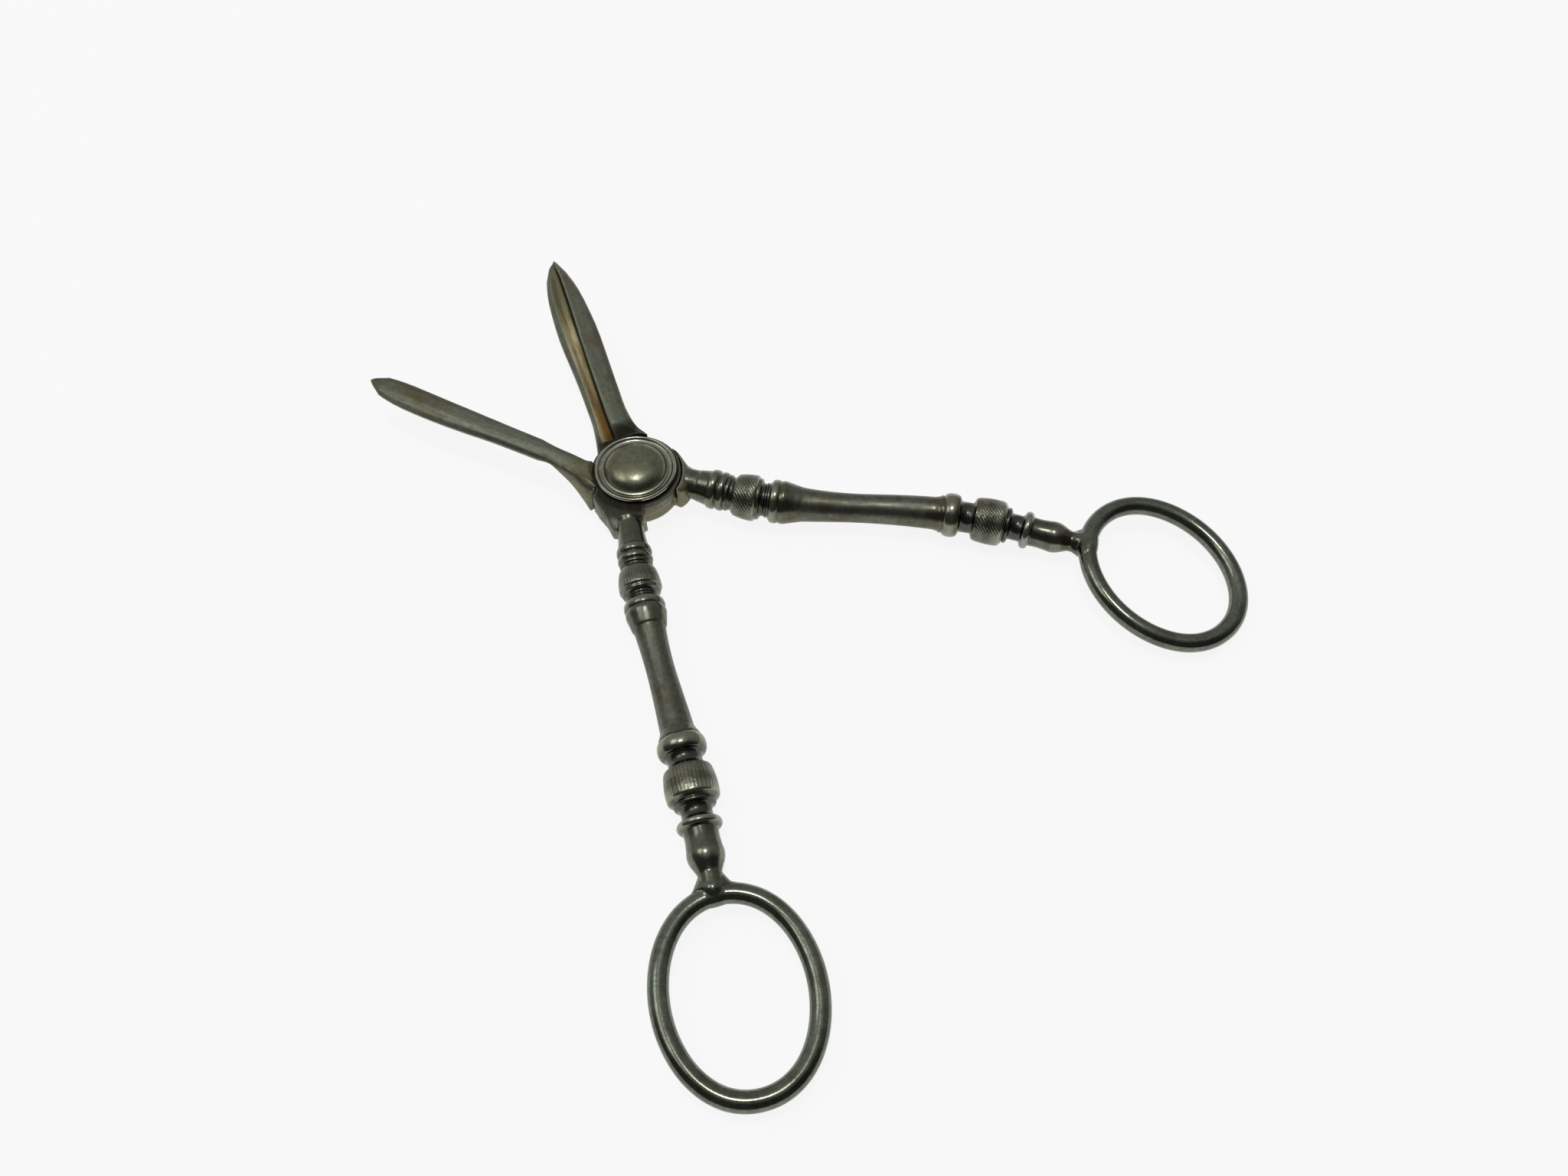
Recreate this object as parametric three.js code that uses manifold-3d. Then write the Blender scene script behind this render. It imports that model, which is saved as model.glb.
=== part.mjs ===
// Grape shears: two crossed arms on a domed pivot screw, lying open on a table.
// Millimetres, +Z up. The origin is on the pivot axis, at the flat underside of the nut.
// The fluted arm has a broad blade with a stepped ledge. The plain arm has a narrow blade
// that drops onto that ledge, so the closed blades make one leaf.
import * as THREE from 'three';
import { mergeVertices } from 'three/addons/utils/BufferGeometryUtils.js';
import Module from 'manifold-3d';

// Opening at rest, and where the fluted blade points from +X
const OPENING = THREE.MathUtils.degToRad(45);
const FLUTED_BEARING = THREE.MathUtils.degToRad(111.5);

// Heights above the table
const NUT_TOP = 2;
const LOWER_DISC_BOTTOM = 2.3;
const LOWER_DISC_TOP = 5;
const UPPER_DISC_BOTTOM = 5.3;
const UPPER_DISC_TOP = 8;
const BLADE_TOP = 10;
const CLEARANCE = 0.3;
const LAP_HEIGHT = (LOWER_DISC_TOP + UPPER_DISC_BOTTOM) / 2;
const HUB_AXIS_HEIGHT = (LOWER_DISC_BOTTOM + UPPER_DISC_TOP) / 2;

// Hub and pivot
const DISC_RADIUS = 8.6;
const LOWER_DISC_RADIUS = 8.3;
const SHOULDER_RADIUS = DISC_RADIUS + CLEARANCE;
const SHOULDER_CORE = 6;
const SEAT_MARGIN = 40;
const BORE_RADIUS = 2.8;
const SHANK_RADIUS = 2.5;
const NUT_RADIUS = 5.5;
const NUT_FLOOR = 0.8;
const WASHER_RADIUS = 7.8;
const WASHER_THICKNESS = 0.4;
const WASHER_RIM = { height: 0.85, round: 0.25, crown: 0.35, cove: 0.9 };
const DOME_RADIUS = 6.4;
const DOME_HEIGHT = 2.4;
const DOME_RIM = 0.3;
const DOME_FULLNESS = 0.7;
const FACE_GAP = 0.05;

// Extra length of a cut that passes right through, and the sides of round shapes
const OVERCUT = 1;
const HUB_SIDES = 48;
const NUT_SIDES = 40;
const BORE_SIDES = 32;
const SHOULDER_STEPS = 14;

// Closed leaf: outline and step, as [distance from pivot, offset], left is positive
const LEFT_EDGE = [
  [4, 6.3], [9, 5.3], [14, 4.6], [20, 4.3], [28, 4.3], [38, 4.5], [48, 3.9], [54, 2.9], [58, 1.6],
  [59.3, 0.5],
];
const STEP_EDGE = [
  [4, 1.5], [9, 1.5], [14, 1.5], [20, 1.3], [28, 1], [38, 0.5], [48, 0], [54, -0.2], [58, -0.1], [59.3, 0],
];
const RIGHT_EDGE = [
  [4, -6.2], [9, -3.6], [14, -2.8], [20, -2.8], [28, -3.15], [38, -3.5], [48, -3.05], [54, -2.1], [58, -1],
  [59.3, -0.4],
];
const PLAIN_EDGE = [
  [6.5, 8], [9, 7.4], [14, 6.1], [20, 5.8], [28, 5.75], [38, 6.05], [48, 5.8], [54, 4.9], [57.5, 3.6],
  [58.6, 2.7],
];
const BLADE_SECTIONS = 26;
const TIP_DROP = 0.9;
const UNDERSIDE_RISE = 1.4;
const TIP_SWEEP = { from: 0.7, reach: 2.1 };

// Blade sections: shares of a part's width, and drops in millimetres
const FLUTED_LIP = { share: 0.3, drop: 0.9, foot: 0.5 };
const CHANNEL = { share: 0.35, depth: 0.35, foot: 0.1, hubRun: 1 / 3, tipRun: 1 / 4 };
const FLUTED_BACK = { share: 0.3, crown: 0.1, drop: 0.7, foot: 0.6, keel: 0.25 };
const PLAIN_BACK = { wall: 0.35, share: 0.16, rise: 0.75, crown: 0.42 };
const PLAIN_LIP = { share: 0.22, drop: 0.35 };

// Sloped round recess that ends the raised back at the pivot screw, and the narrow blade's chamfer
const RECESS = { foot: 6.6, rim: 10.1, along: 2.2, across: 4.2 };
const CHAMFER_RIM = 10.2;

// Web from the lower disc up to the narrow blade: end bearing, then its rows as inner and outer
// corner in plan and the height of the underside above the lower disc
const WEB_END = { bearing: 55.8, outer: 10.4 };
const WEB_ROWS = [
  [[5.75, 5.85], [8.4, 7.5], 1],
  [[9.15, 6.2], [10.9, 6.8], 3.4],
  [[13.05, 5.7], [13.85, 6.4], 5.8],
];
const WEB_SLOPE = { share: 0.45, drop: 1.3 };

// The top of the narrow blade curls down at its root, from this distance to the web's end
const ROOT_CURL = { start: 13, reach: 7, drop: 1.7, bend: 1.5 };

// Turned stems, from the first bead: round mouldings, then a collar as [station, radius]
const FIRST_BEAD = { at: 0, half: 0.85, foot: 3.15, crown: 3.52 };
const SECOND_BEAD = { at: 1.75, half: 0.7, foot: 3.1, crown: 3.47 };
const RIDGE = { at: 2.9, half: 0.4, foot: 3, crown: 3.25 };
const SMALL_COLLAR = [[4.2, 3.4], [4.65, 3.7], [6, 3.98], [7.4, 4.12], [8.5, 4.06], [9.1, 3.75], [9.25, 3.5]];
const LIP = { at: 12.05, half: 0.8, foot: 3.65, crown: 3.92 };
const SHAFT_CREST = [[12.95, 3.78], [13.6, 3.88], [14.9, 3.5], [16.2, 3.15]];

// How far the shaft swells over its waist, at shares of its length
const SHAFT_SWELL = { near: [0.18, 0.32], far: [0.84, 0.36] };

// The same from the end bead, with the flare that leads to it
const TRUMPET = [[-2.9, 3.2], [-1.75, 3.62]];
const END_BEAD = { at: 0, half: 1.5, foot: 3.5, crown: 4.22 };
const LARGE_COLLAR = [
  [4.25, 3.75], [4.8, 4.15], [6.3, 4.38], [7.9, 4.45], [9.3, 4.38], [9.9, 4.15], [10.1, 3.85],
];
const COVE_RING = { at: 10.65, half: 0.4, foot: 3.2, crown: 3.5 };
const RIM_DISC = { at: 14.4, half: 0.8, foot: 2.95, crown: 3.7 };
const VASE = [
  [15.4, 2.85], [16.8, 2.8], [18.4, 2.92], [19.6, 3.05],
  [20.7, 2.85], [21.7, 2.4], [22.6, 2.02], [23.3, 1.98],
];
const BEAD_ANGLES = [0, 0.2, 0.5, 0.8, 1];
const NECK = { radius: 2.8, back: 3, root: 3.7, reach: 10 };
const GROOVE_RADIUS = 2.95;
const THIN_GROOVE_RADIUS = 2.55;
const TAIL_FLARE = 0.35;
const STEM_SIDES = 16;

// Lengths along a stem
const SHAFT_START = 12.7;
const COLLAR_CREST = [7.9, 4.46];
const TAIL_AT = 23.3;
const GROOVE_GAP = 0.4;

// Stations that steer the bowed axis: root, then from the first bead, end bead and rim disc
const ROOT_STATION = 8;
const AXIS_COLLAR = 10.1;
const AXIS_END_BEAD = 2.8;
const STEM_END = 2;

// Finger rings: oval wire; a tilted ring's far end lies lower
const WIRE_RADIUS = 1.72;
const RING_STEPS = 36;
const WIRE_SIDES = 12;

// Each handle, in a frame that points from the pivot to its ring.
// root: bearings and outer radii of the shoulder on the hub, in degrees and millimetres
// firstBead: station of the first bead; shaft: length of the waisted part
// bow: outward bow of the axis at root, small collar, shaft end and tail
// girth: scale of the mouldings at the hub and at the ring
const FLUTED_HANDLE = {
  bearing: THREE.MathUtils.degToRad(171.5),
  outward: -1,
  root: { from: -68.7, to: 1.5, outerFrom: 9.8, outerTo: 10.4 },
  firstBead: 16.7,
  shaft: 28.2,
  waist: { at: 0.45, radius: 2.58 },
  bow: [2.98, 3.2, 1.3, 0.85],
  girth: [0.94, 1.05],
  ring: { distance: 100, long: 16, short: 12.3, turn: THREE.MathUtils.degToRad(1), tilt: 0 },
};
const PLAIN_HANDLE = {
  bearing: THREE.MathUtils.degToRad(-167.4),
  outward: 1,
  root: { from: -17.1, to: 47.7, outerFrom: 9.7, outerTo: 9.35 },
  firstBead: 15.05,
  shaft: 32.8,
  waist: { at: 0.45, radius: 2.68 },
  bow: [1.5, 0.56, 4.7, 3.4],
  girth: [1.09, 0.97],
  ring: {
    distance: 100.8,
    long: 15.4,
    short: 12.5,
    turn: THREE.MathUtils.degToRad(-40.7),
    tilt: THREE.MathUtils.degToRad(5),
  },
};

const satinSteel = new THREE.MeshStandardMaterial({ color: 0x6b6c5e, roughness: 0.42, metalness: 1 });
const stainedSteel = new THREE.MeshStandardMaterial({ color: 0x66624e, roughness: 0.45, metalness: 1 });
const tarnishedPlate = new THREE.MeshStandardMaterial({ color: 0x55544a, roughness: 0.32, metalness: 1 });
const darkWire = new THREE.MeshStandardMaterial({ color: 0x3f403a, roughness: 0.25, metalness: 1 });
const brightPlate = new THREE.MeshStandardMaterial({ color: 0x8b8a7c, roughness: 0.3, metalness: 1 });

const wasm = await Module();
wasm.setup();

// A closed three.js geometry as a solid for joining and cutting
function solid(geometry) {
  const bare = geometry.clone();
  bare.deleteAttribute('normal');
  bare.deleteAttribute('uv');
  const merged = mergeVertices(bare, 1e-4);
  return new wasm.Manifold(new wasm.Mesh({
    numProp: 3,
    vertProperties: new Float32Array(merged.attributes.position.array),
    triVerts: new Uint32Array(merged.index.array),
  }));
}

// The solid back as a three.js geometry
function geometryOf(body) {
  const mesh = body.getMesh();
  const geometry = new THREE.BufferGeometry();
  geometry.setAttribute('position', new THREE.BufferAttribute(new Float32Array(mesh.vertProperties), 3));
  geometry.setIndex(new THREE.BufferAttribute(new Uint32Array(mesh.triVerts), 1));
  geometry.computeVertexNormals();
  return geometry;
}

// Skin over sections with equal point counts; an open loft gets flat ends
function loft(sections, closed = false) {
  const count = sections[0].length;
  const position = sections.flat().flatMap((point) => point.toArray());
  const index = [];
  const spans = closed ? sections.length : sections.length - 1;
  for (let i = 0; i < spans; i += 1) {
    const here = i * count;
    const next = ((i + 1) % sections.length) * count;
    for (let j = 0; j < count; j += 1) {
      const k = (j + 1) % count;
      index.push(here + j, here + k, next + k, here + j, next + k, next + j);
    }
  }
  if (!closed) {
    const last = (sections.length - 1) * count;
    for (let j = 1; j < count - 1; j += 1) {
      index.push(0, j + 1, j);
      index.push(last, last + j, last + j + 1);
    }
  }
  const geometry = new THREE.BufferGeometry();
  geometry.setAttribute('position', new THREE.Float32BufferAttribute(position, 3));
  geometry.setIndex(index);
  return geometry;
}

// Upright cylinder between two heights, or a cone if its top radius differs
function post(radius, bottom, top, { sides = HUB_SIDES, topRadius = radius } = {}) {
  const geometry = new THREE.CylinderGeometry(topRadius, radius, top - bottom, sides);
  return geometry.rotateX(Math.PI / 2).translate(0, 0, (bottom + top) / 2);
}

const steps = (count) => Array.from({ length: count }, (_, i) => i / (count - 1));

const vector = ([x, y, z]) => new THREE.Vector3(x, y, z);

const polar = (radius, degrees) => new THREE.Vector2(
  radius * Math.cos(THREE.MathUtils.degToRad(degrees)),
  radius * Math.sin(THREE.MathUtils.degToRad(degrees)),
);

// Upright shoulder between two bearings in degrees, its outer radius changing evenly
function shoulder(inner, { from, to, outerFrom, outerTo }, bottom, top) {
  const rim = steps(SHOULDER_STEPS).map((t) => polar(
    THREE.MathUtils.lerp(outerFrom, outerTo, t), THREE.MathUtils.lerp(from, to, t),
  ));
  const outline = new THREE.Shape([polar(inner, from), ...rim, polar(inner, to)]);
  const geometry = new THREE.ExtrudeGeometry(outline, { depth: top - bottom, bevelEnabled: false });
  return geometry.translate(0, 0, bottom);
}

const edgeCurve = (points) => new THREE.SplineCurve(points.map(([x, y]) => new THREE.Vector2(x, y)));
const leftEdge = edgeCurve(LEFT_EDGE);
const stepEdge = edgeCurve(STEP_EDGE);
const rightEdge = edgeCurve(RIGHT_EDGE);
const plainEdge = edgeCurve(PLAIN_EDGE);

// Heights along the leaf: the top drops and the underside rises towards the tip
const topHeight = (t) => BLADE_TOP - TIP_DROP * t ** 3;
const undersideHeight = (t) => UPPER_DISC_BOTTOM + UNDERSIDE_RISE * t;

// Drop of the narrow blade's top at its root
function rootCurl(along) {
  const { start, reach, drop, bend } = ROOT_CURL;
  return drop * (Math.max(start - along, 0) / reach) ** bend;
}

// Depth of the channel, which runs out at the hub and at the tip
function channelDepth(t) {
  const { depth, hubRun, tipRun } = CHANNEL;
  return depth * Math.min(1, (1 - t) / tipRun) * Math.min(1, t / hubRun);
}

// Broad blade: bevelled lip, hollowed ledge, upright step and raised back
function flutedSection(t) {
  const left = leftEdge.getPoint(t);
  const step = stepEdge.getPoint(t);
  const right = rightEdge.getPoint(t);
  const width = left.y - step.y;
  const back = step.y - right.y;
  const ledge = UPPER_DISC_TOP;
  const top = topHeight(t);
  const under = undersideHeight(t);
  return [
    [left.x, left.y, ledge - FLUTED_LIP.drop],
    [left.x, left.y - FLUTED_LIP.share * width, ledge],
    [step.x, step.y + CHANNEL.share * width, ledge - channelDepth(t)],
    [step.x, step.y, ledge - CHANNEL.foot],
    [step.x, step.y, top],
    [right.x, right.y + FLUTED_BACK.share * back, top - FLUTED_BACK.crown],
    [right.x, right.y, top - FLUTED_BACK.drop],
    [right.x, right.y, under + FLUTED_BACK.foot],
    [right.x, right.y + FLUTED_BACK.keel * back, under],
    [left.x, left.y - FLUTED_LIP.share * width, under],
    [left.x, left.y, under + FLUTED_LIP.foot],
  ].map(vector);
}

// Narrow blade: flat underside on the ledge, lip along the cutting edge, rounded back
function plainSection(t) {
  const left = plainEdge.getPoint(t);
  const step = stepEdge.getPoint(t);
  const sweep = Math.max(t - TIP_SWEEP.from, 0) / (1 - TIP_SWEEP.from);
  const inner = step.y + CLEARANCE + TIP_SWEEP.reach * sweep ** 2;
  const outer = left.y;
  const width = outer - inner;
  const under = UPPER_DISC_TOP + CLEARANCE;
  const top = Math.max(topHeight(t) - rootCurl(left.x), under + CLEARANCE);
  const thickness = top - under;
  return [
    [step.x, inner, under],
    [left.x, outer, under],
    [left.x, outer, under + PLAIN_BACK.wall * thickness],
    [left.x, outer - PLAIN_BACK.share * width, under + PLAIN_BACK.rise * thickness],
    [left.x, outer - PLAIN_BACK.crown * width, top],
    [step.x, inner + PLAIN_LIP.share * width, top],
    [step.x, inner, top - PLAIN_LIP.drop],
  ].map(vector);
}

// Circle of points across an axis
function circleAt(centre, tangent, radius, sides) {
  const lateral = new THREE.Vector3(0, 0, 1).cross(tangent).normalize();
  const rise = tangent.clone().cross(lateral).normalize();
  return Array.from({ length: sides }, (_, i) => {
    const angle = (i / sides) * 2 * Math.PI;
    return centre.clone()
      .addScaledVector(lateral, radius * Math.cos(angle))
      .addScaledVector(rise, radius * Math.sin(angle));
  });
}

// Stations along a handle's axis, and its girth at a station
const endBeadStation = (handle) => handle.firstBead + SHAFT_START + handle.shaft;
const discStation = (handle) => endBeadStation(handle) + RIM_DISC.at;
function girthAt(handle, station) {
  const along = (station - handle.firstBead) / (discStation(handle) - handle.firstBead);
  return THREE.MathUtils.lerp(...handle.girth, THREE.MathUtils.clamp(along, 0, 1));
}

// The axis falls from the hub so far that the large collar rests on the table
function axisHeight(handle, station) {
  const [at, crest] = COLLAR_CREST;
  const collar = endBeadStation(handle) + at;
  const slope = (HUB_AXIS_HEIGHT - crest * girthAt(handle, collar)) / collar;
  return HUB_AXIS_HEIGHT - slope * station;
}

// Oval wire ring in the handle's own frame, +X from the pivot through the ring's centre
function ringGeometry(handle, wireRadius) {
  const { distance, long, short, turn, tilt } = handle.ring;
  const height = axisHeight(handle, distance);
  const oval = new THREE.EllipseCurve(0, 0, long, short, 0, 2 * Math.PI, false, turn);
  const slope = new THREE.Vector2(Math.cos(turn), Math.sin(turn)).multiplyScalar(-Math.tan(tilt));
  const sections = Array.from({ length: RING_STEPS }, (_, i) => {
    const point = oval.getPoint(i / RING_STEPS);
    const tangent = oval.getTangent(i / RING_STEPS);
    return circleAt(
      new THREE.Vector3(distance + point.x, point.y, height + slope.dot(point)),
      new THREE.Vector3(tangent.x, tangent.y, slope.dot(tangent)),
      wireRadius,
      WIRE_SIDES,
    );
  });
  return loft(sections, true);
}

// Outline of a turned stem as [station, radius]: beads are arcs, the rest are splines
function stemProfile(handle, end) {
  const first = handle.firstBead;
  const shaftStart = first + SHAFT_START;
  const endBead = endBeadStation(handle);
  const { at, radius: waist } = handle.waist;
  const outline = [];
  const point = (station, radius) => outline.push([station, radius * girthAt(handle, station)]);
  const bead = (from, { at: centre, half, foot, crown }) => {
    for (const share of BEAD_ANGLES) {
      const angle = share * Math.PI;
      point(from + centre - half * Math.cos(angle), foot + (crown - foot) * Math.sin(angle));
    }
  };
  const groove = (before, after, radius) => {
    point(before + GROOVE_GAP, radius);
    point(after - GROOVE_GAP, radius);
  };
  const sweep = (points, count) => {
    for (const { x, y } of edgeCurve(points).getPoints(count)) point(x, y);
  };
  const shifted = (from, points) => points.map(([station, radius]) => [from + station, radius]);
  const onShaft = (share, swell) => [shaftStart + share * handle.shaft, waist + swell];
  sweep([
    [first - NECK.reach, NECK.root],
    [first - NECK.back, NECK.radius],
    [first - FIRST_BEAD.half, FIRST_BEAD.foot],
  ], 7);
  bead(first, FIRST_BEAD);
  bead(first, SECOND_BEAD);
  bead(first, RIDGE);
  groove(first + RIDGE.at + RIDGE.half, first + SMALL_COLLAR[0][0], GROOVE_RADIUS);
  sweep(shifted(first, SMALL_COLLAR), 8);
  groove(first + SMALL_COLLAR.at(-1)[0], first + LIP.at - LIP.half, GROOVE_RADIUS);
  bead(first, LIP);
  sweep([
    ...shifted(first, SHAFT_CREST),
    onShaft(...SHAFT_SWELL.near),
    onShaft(at, 0),
    onShaft(...SHAFT_SWELL.far),
    ...shifted(endBead, TRUMPET),
  ], 18);
  bead(endBead, END_BEAD);
  groove(endBead + END_BEAD.half, endBead + LARGE_COLLAR[0][0], GROOVE_RADIUS);
  sweep(shifted(endBead, LARGE_COLLAR), 9);
  bead(endBead, COVE_RING);
  groove(endBead + COVE_RING.at + COVE_RING.half, endBead + RIM_DISC.at - RIM_DISC.half, THIN_GROOVE_RADIUS);
  bead(endBead, RIM_DISC);
  sweep([...shifted(endBead, VASE), [end, VASE.at(-1)[1] + TAIL_FLARE]], 14);
  return outline;
}

// Turned stem on a slightly bowed axis, saddled onto the hub and the ring
function stemSolid(handle) {
  const tailStation = endBeadStation(handle) + TAIL_AT;
  const stations = [
    ROOT_STATION,
    handle.firstBead + AXIS_COLLAR,
    endBeadStation(handle) + AXIS_END_BEAD,
    tailStation,
  ];
  const axis = new THREE.CatmullRomCurve3(stations.map((station, i) => new THREE.Vector3(
    station, handle.outward * handle.bow[i], axisHeight(handle, station),
  )));
  const tangent = axis.getTangentAt(1);
  const profile = stemProfile(handle, tailStation + STEM_END);
  const sections = profile.filter(([station]) => station >= ROOT_STATION).map(([station, radius]) => {
    const u = Math.min((station - ROOT_STATION) / (tailStation - ROOT_STATION), 1);
    const past = Math.max(station - tailStation, 0);
    const centre = axis.getPointAt(u).addScaledVector(tangent, past);
    return circleAt(centre, axis.getTangentAt(u), radius, STEM_SIDES);
  });
  const { from, to, outerFrom, outerTo } = handle.root;
  const seat = {
    from: from - SEAT_MARGIN,
    to: to + SEAT_MARGIN,
    outerFrom: outerFrom + CLEARANCE,
    outerTo: outerTo + CLEARANCE,
  };
  const hub = shoulder(CLEARANCE, seat, LOWER_DISC_BOTTOM - NECK.root, UPPER_DISC_TOP + NECK.root);
  return solid(loft(sections))
    .subtract(solid(hub))
    .subtract(solid(ringGeometry(handle, WIRE_RADIUS + CLEARANCE)));
}

// Shoulder where the stem is brazed to the hub, over the full height of both discs
function rootGeometry(handle) {
  return shoulder(SHOULDER_CORE, handle.root, LOWER_DISC_BOTTOM, UPPER_DISC_TOP).rotateZ(handle.bearing);
}

// Broad blade with the upper half-lap disc and its shoulder
function flutedBladeSolid() {
  const blade = solid(loft(steps(BLADE_SECTIONS).map(flutedSection)));
  const recess = post(RECESS.foot, UPPER_DISC_TOP, BLADE_TOP, { topRadius: RECESS.rim });
  const washerRoom = post(WASHER_RADIUS + CLEARANCE, UPPER_DISC_TOP, BLADE_TOP + OVERCUT);
  const lowerRoom = post(SHOULDER_RADIUS, 0, LAP_HEIGHT);
  return blade
    .subtract(solid(recess.translate(RECESS.along, RECESS.across, 0)))
    .subtract(solid(washerRoom))
    .add(solid(post(DISC_RADIUS, UPPER_DISC_BOTTOM, UPPER_DISC_TOP)))
    .add(solid(rootGeometry(FLUTED_HANDLE)))
    .subtract(solid(lowerRoom))
    .subtract(solid(post(BORE_RADIUS, 0, BLADE_TOP)));
}

// Web that carries the narrow blade up from the lower disc, outside the fluted blade's edge
function webGeometry() {
  const { bearing, outer: reach } = WEB_END;
  const foot = [polar(SHOULDER_CORE, bearing).toArray(), polar(reach, bearing).toArray(), 0];
  return loft([foot, ...WEB_ROWS].map(([inner, outer, rise]) => {
    const bottom = LOWER_DISC_BOTTOM + rise;
    const top = BLADE_TOP - rootCurl(outer[0]);
    const brow = [0, 1].map((i) => THREE.MathUtils.lerp(outer[i], inner[i], WEB_SLOPE.share));
    return [
      [...inner, bottom],
      [...outer, bottom],
      [...outer, Math.max(top - WEB_SLOPE.drop, bottom + CLEARANCE)],
      [...brow, top],
      [...inner, top],
    ].map(vector);
  }));
}

// Narrow blade with the lower half-lap disc, its web and its shoulder
function plainBladeSolid() {
  const blade = solid(loft(steps(BLADE_SECTIONS).map(plainSection)));
  const ledge = UPPER_DISC_TOP + CLEARANCE;
  const upperRoom = post(SHOULDER_RADIUS, LAP_HEIGHT, ledge);
  const washerRoom = WASHER_RADIUS + CLEARANCE;
  const chamfer = post(washerRoom, ledge, BLADE_TOP, { topRadius: CHAMFER_RIM });
  return blade
    .add(solid(post(LOWER_DISC_RADIUS, LOWER_DISC_BOTTOM, LOWER_DISC_TOP)))
    .add(solid(rootGeometry(PLAIN_HANDLE)))
    .add(solid(webGeometry()))
    .subtract(solid(upperRoom))
    .subtract(solid(chamfer))
    .subtract(solid(post(BORE_RADIUS, 0, BLADE_TOP)));
}

// Dome-headed screw
function screwGeometry() {
  const seat = UPPER_DISC_TOP + CLEARANCE + WASHER_THICKNESS + FACE_GAP;
  const end = NUT_FLOOR + 2 * FACE_GAP;
  const outline = new THREE.Path();
  outline.moveTo(0, end);
  outline.lineTo(SHANK_RADIUS, end);
  outline.lineTo(SHANK_RADIUS, seat);
  outline.lineTo(DOME_RADIUS, seat);
  outline.lineTo(DOME_RADIUS, seat + DOME_RIM);
  outline.quadraticCurveTo(DOME_FULLNESS * DOME_RADIUS, seat + DOME_HEIGHT, 0, seat + DOME_HEIGHT);
  return new THREE.LatheGeometry(outline.getPoints(7), BORE_SIDES).rotateX(Math.PI / 2);
}

// Cup washer: a flat ring whose rounded rim stands up round the dome, with a cove inside it
function washerGeometry() {
  const { height, round, crown, cove } = WASHER_RIM;
  const bottom = UPPER_DISC_TOP + CLEARANCE;
  const floor = bottom + WASHER_THICKNESS;
  const top = bottom + height;
  const outline = [
    [BORE_RADIUS, bottom],
    [WASHER_RADIUS - round, bottom],
    [WASHER_RADIUS, bottom + round],
    [WASHER_RADIUS, top - round],
    [WASHER_RADIUS - crown, top],
    [WASHER_RADIUS - cove, floor + CLEARANCE / 2],
    [DOME_RADIUS, floor],
    [BORE_RADIUS, floor],
    [BORE_RADIUS, bottom],
  ].map(([radius, rise]) => new THREE.Vector2(radius, rise));
  return new THREE.LatheGeometry(outline, NUT_SIDES).rotateX(Math.PI / 2);
}

// Flat round nut, closed underneath
function nutSolid() {
  const thread = post(BORE_RADIUS, NUT_FLOOR, NUT_TOP + OVERCUT, { sides: BORE_SIDES });
  return solid(post(NUT_RADIUS, 0, NUT_TOP, { sides: NUT_SIDES })).subtract(solid(thread));
}

function part(name, geometry, material) {
  const mesh = new THREE.Mesh(geometry, material);
  mesh.name = name;
  return mesh;
}

// Stem and ring share the handle's frame
function handleGroup(handle, stemName, ringName) {
  const group = new THREE.Group();
  group.rotation.z = handle.bearing;
  group.add(part(stemName, geometryOf(stemSolid(handle)), tarnishedPlate));
  group.add(part(ringName, ringGeometry(handle, WIRE_RADIUS), darkWire));
  return group;
}

const flutedArm = new THREE.Group();
flutedArm.rotation.z = FLUTED_BEARING;
flutedArm.add(part('fluted_blade', geometryOf(flutedBladeSolid()), stainedSteel));
flutedArm.add(handleGroup(FLUTED_HANDLE, 'fluted_arm_stem', 'fluted_arm_ring'));

const plainArm = new THREE.Group();
plainArm.rotation.z = FLUTED_BEARING + OPENING;
plainArm.add(part('plain_blade', geometryOf(plainBladeSolid()), satinSteel));
plainArm.add(handleGroup(PLAIN_HANDLE, 'plain_arm_stem', 'plain_arm_ring'));

const pivot = new THREE.Group();
pivot.add(part('pivot_screw', screwGeometry(), tarnishedPlate));
pivot.add(part('pivot_washer', washerGeometry(), brightPlate));
pivot.add(part('pivot_nut', geometryOf(nutSolid()), tarnishedPlate));

const shears = new THREE.Group();
shears.add(flutedArm, plainArm, pivot);

export default shears;
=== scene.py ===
import math

import bmesh
import bpy
from mathutils import Matrix, Vector


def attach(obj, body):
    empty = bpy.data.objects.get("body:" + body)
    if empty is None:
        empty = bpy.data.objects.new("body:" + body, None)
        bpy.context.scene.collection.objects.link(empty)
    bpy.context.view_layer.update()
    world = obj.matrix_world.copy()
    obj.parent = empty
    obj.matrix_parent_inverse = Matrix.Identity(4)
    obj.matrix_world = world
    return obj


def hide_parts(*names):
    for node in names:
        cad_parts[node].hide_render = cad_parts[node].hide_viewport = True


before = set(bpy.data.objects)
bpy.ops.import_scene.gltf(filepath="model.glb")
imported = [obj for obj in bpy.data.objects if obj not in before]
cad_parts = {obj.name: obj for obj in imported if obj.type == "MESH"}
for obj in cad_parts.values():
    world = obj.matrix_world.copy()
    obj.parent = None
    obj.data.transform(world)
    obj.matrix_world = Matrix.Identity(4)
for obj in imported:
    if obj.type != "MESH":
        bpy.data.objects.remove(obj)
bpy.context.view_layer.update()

# Grape shears in tarnished silver plate, lying open on a white table.
# Sizes are millimetres and become metres through MM where a mesh is made.
MM = 0.001

# Camera: place, angle from straight down, roll and lens
CAMERA_PLACE = (28.62, -151.5, 207.65)
CAMERA_TILT = math.radians(32.15)
CAMERA_ROLL = math.radians(0.73)
CAMERA_LENS = 29.98
CAMERA_SENSOR = 36

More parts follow.
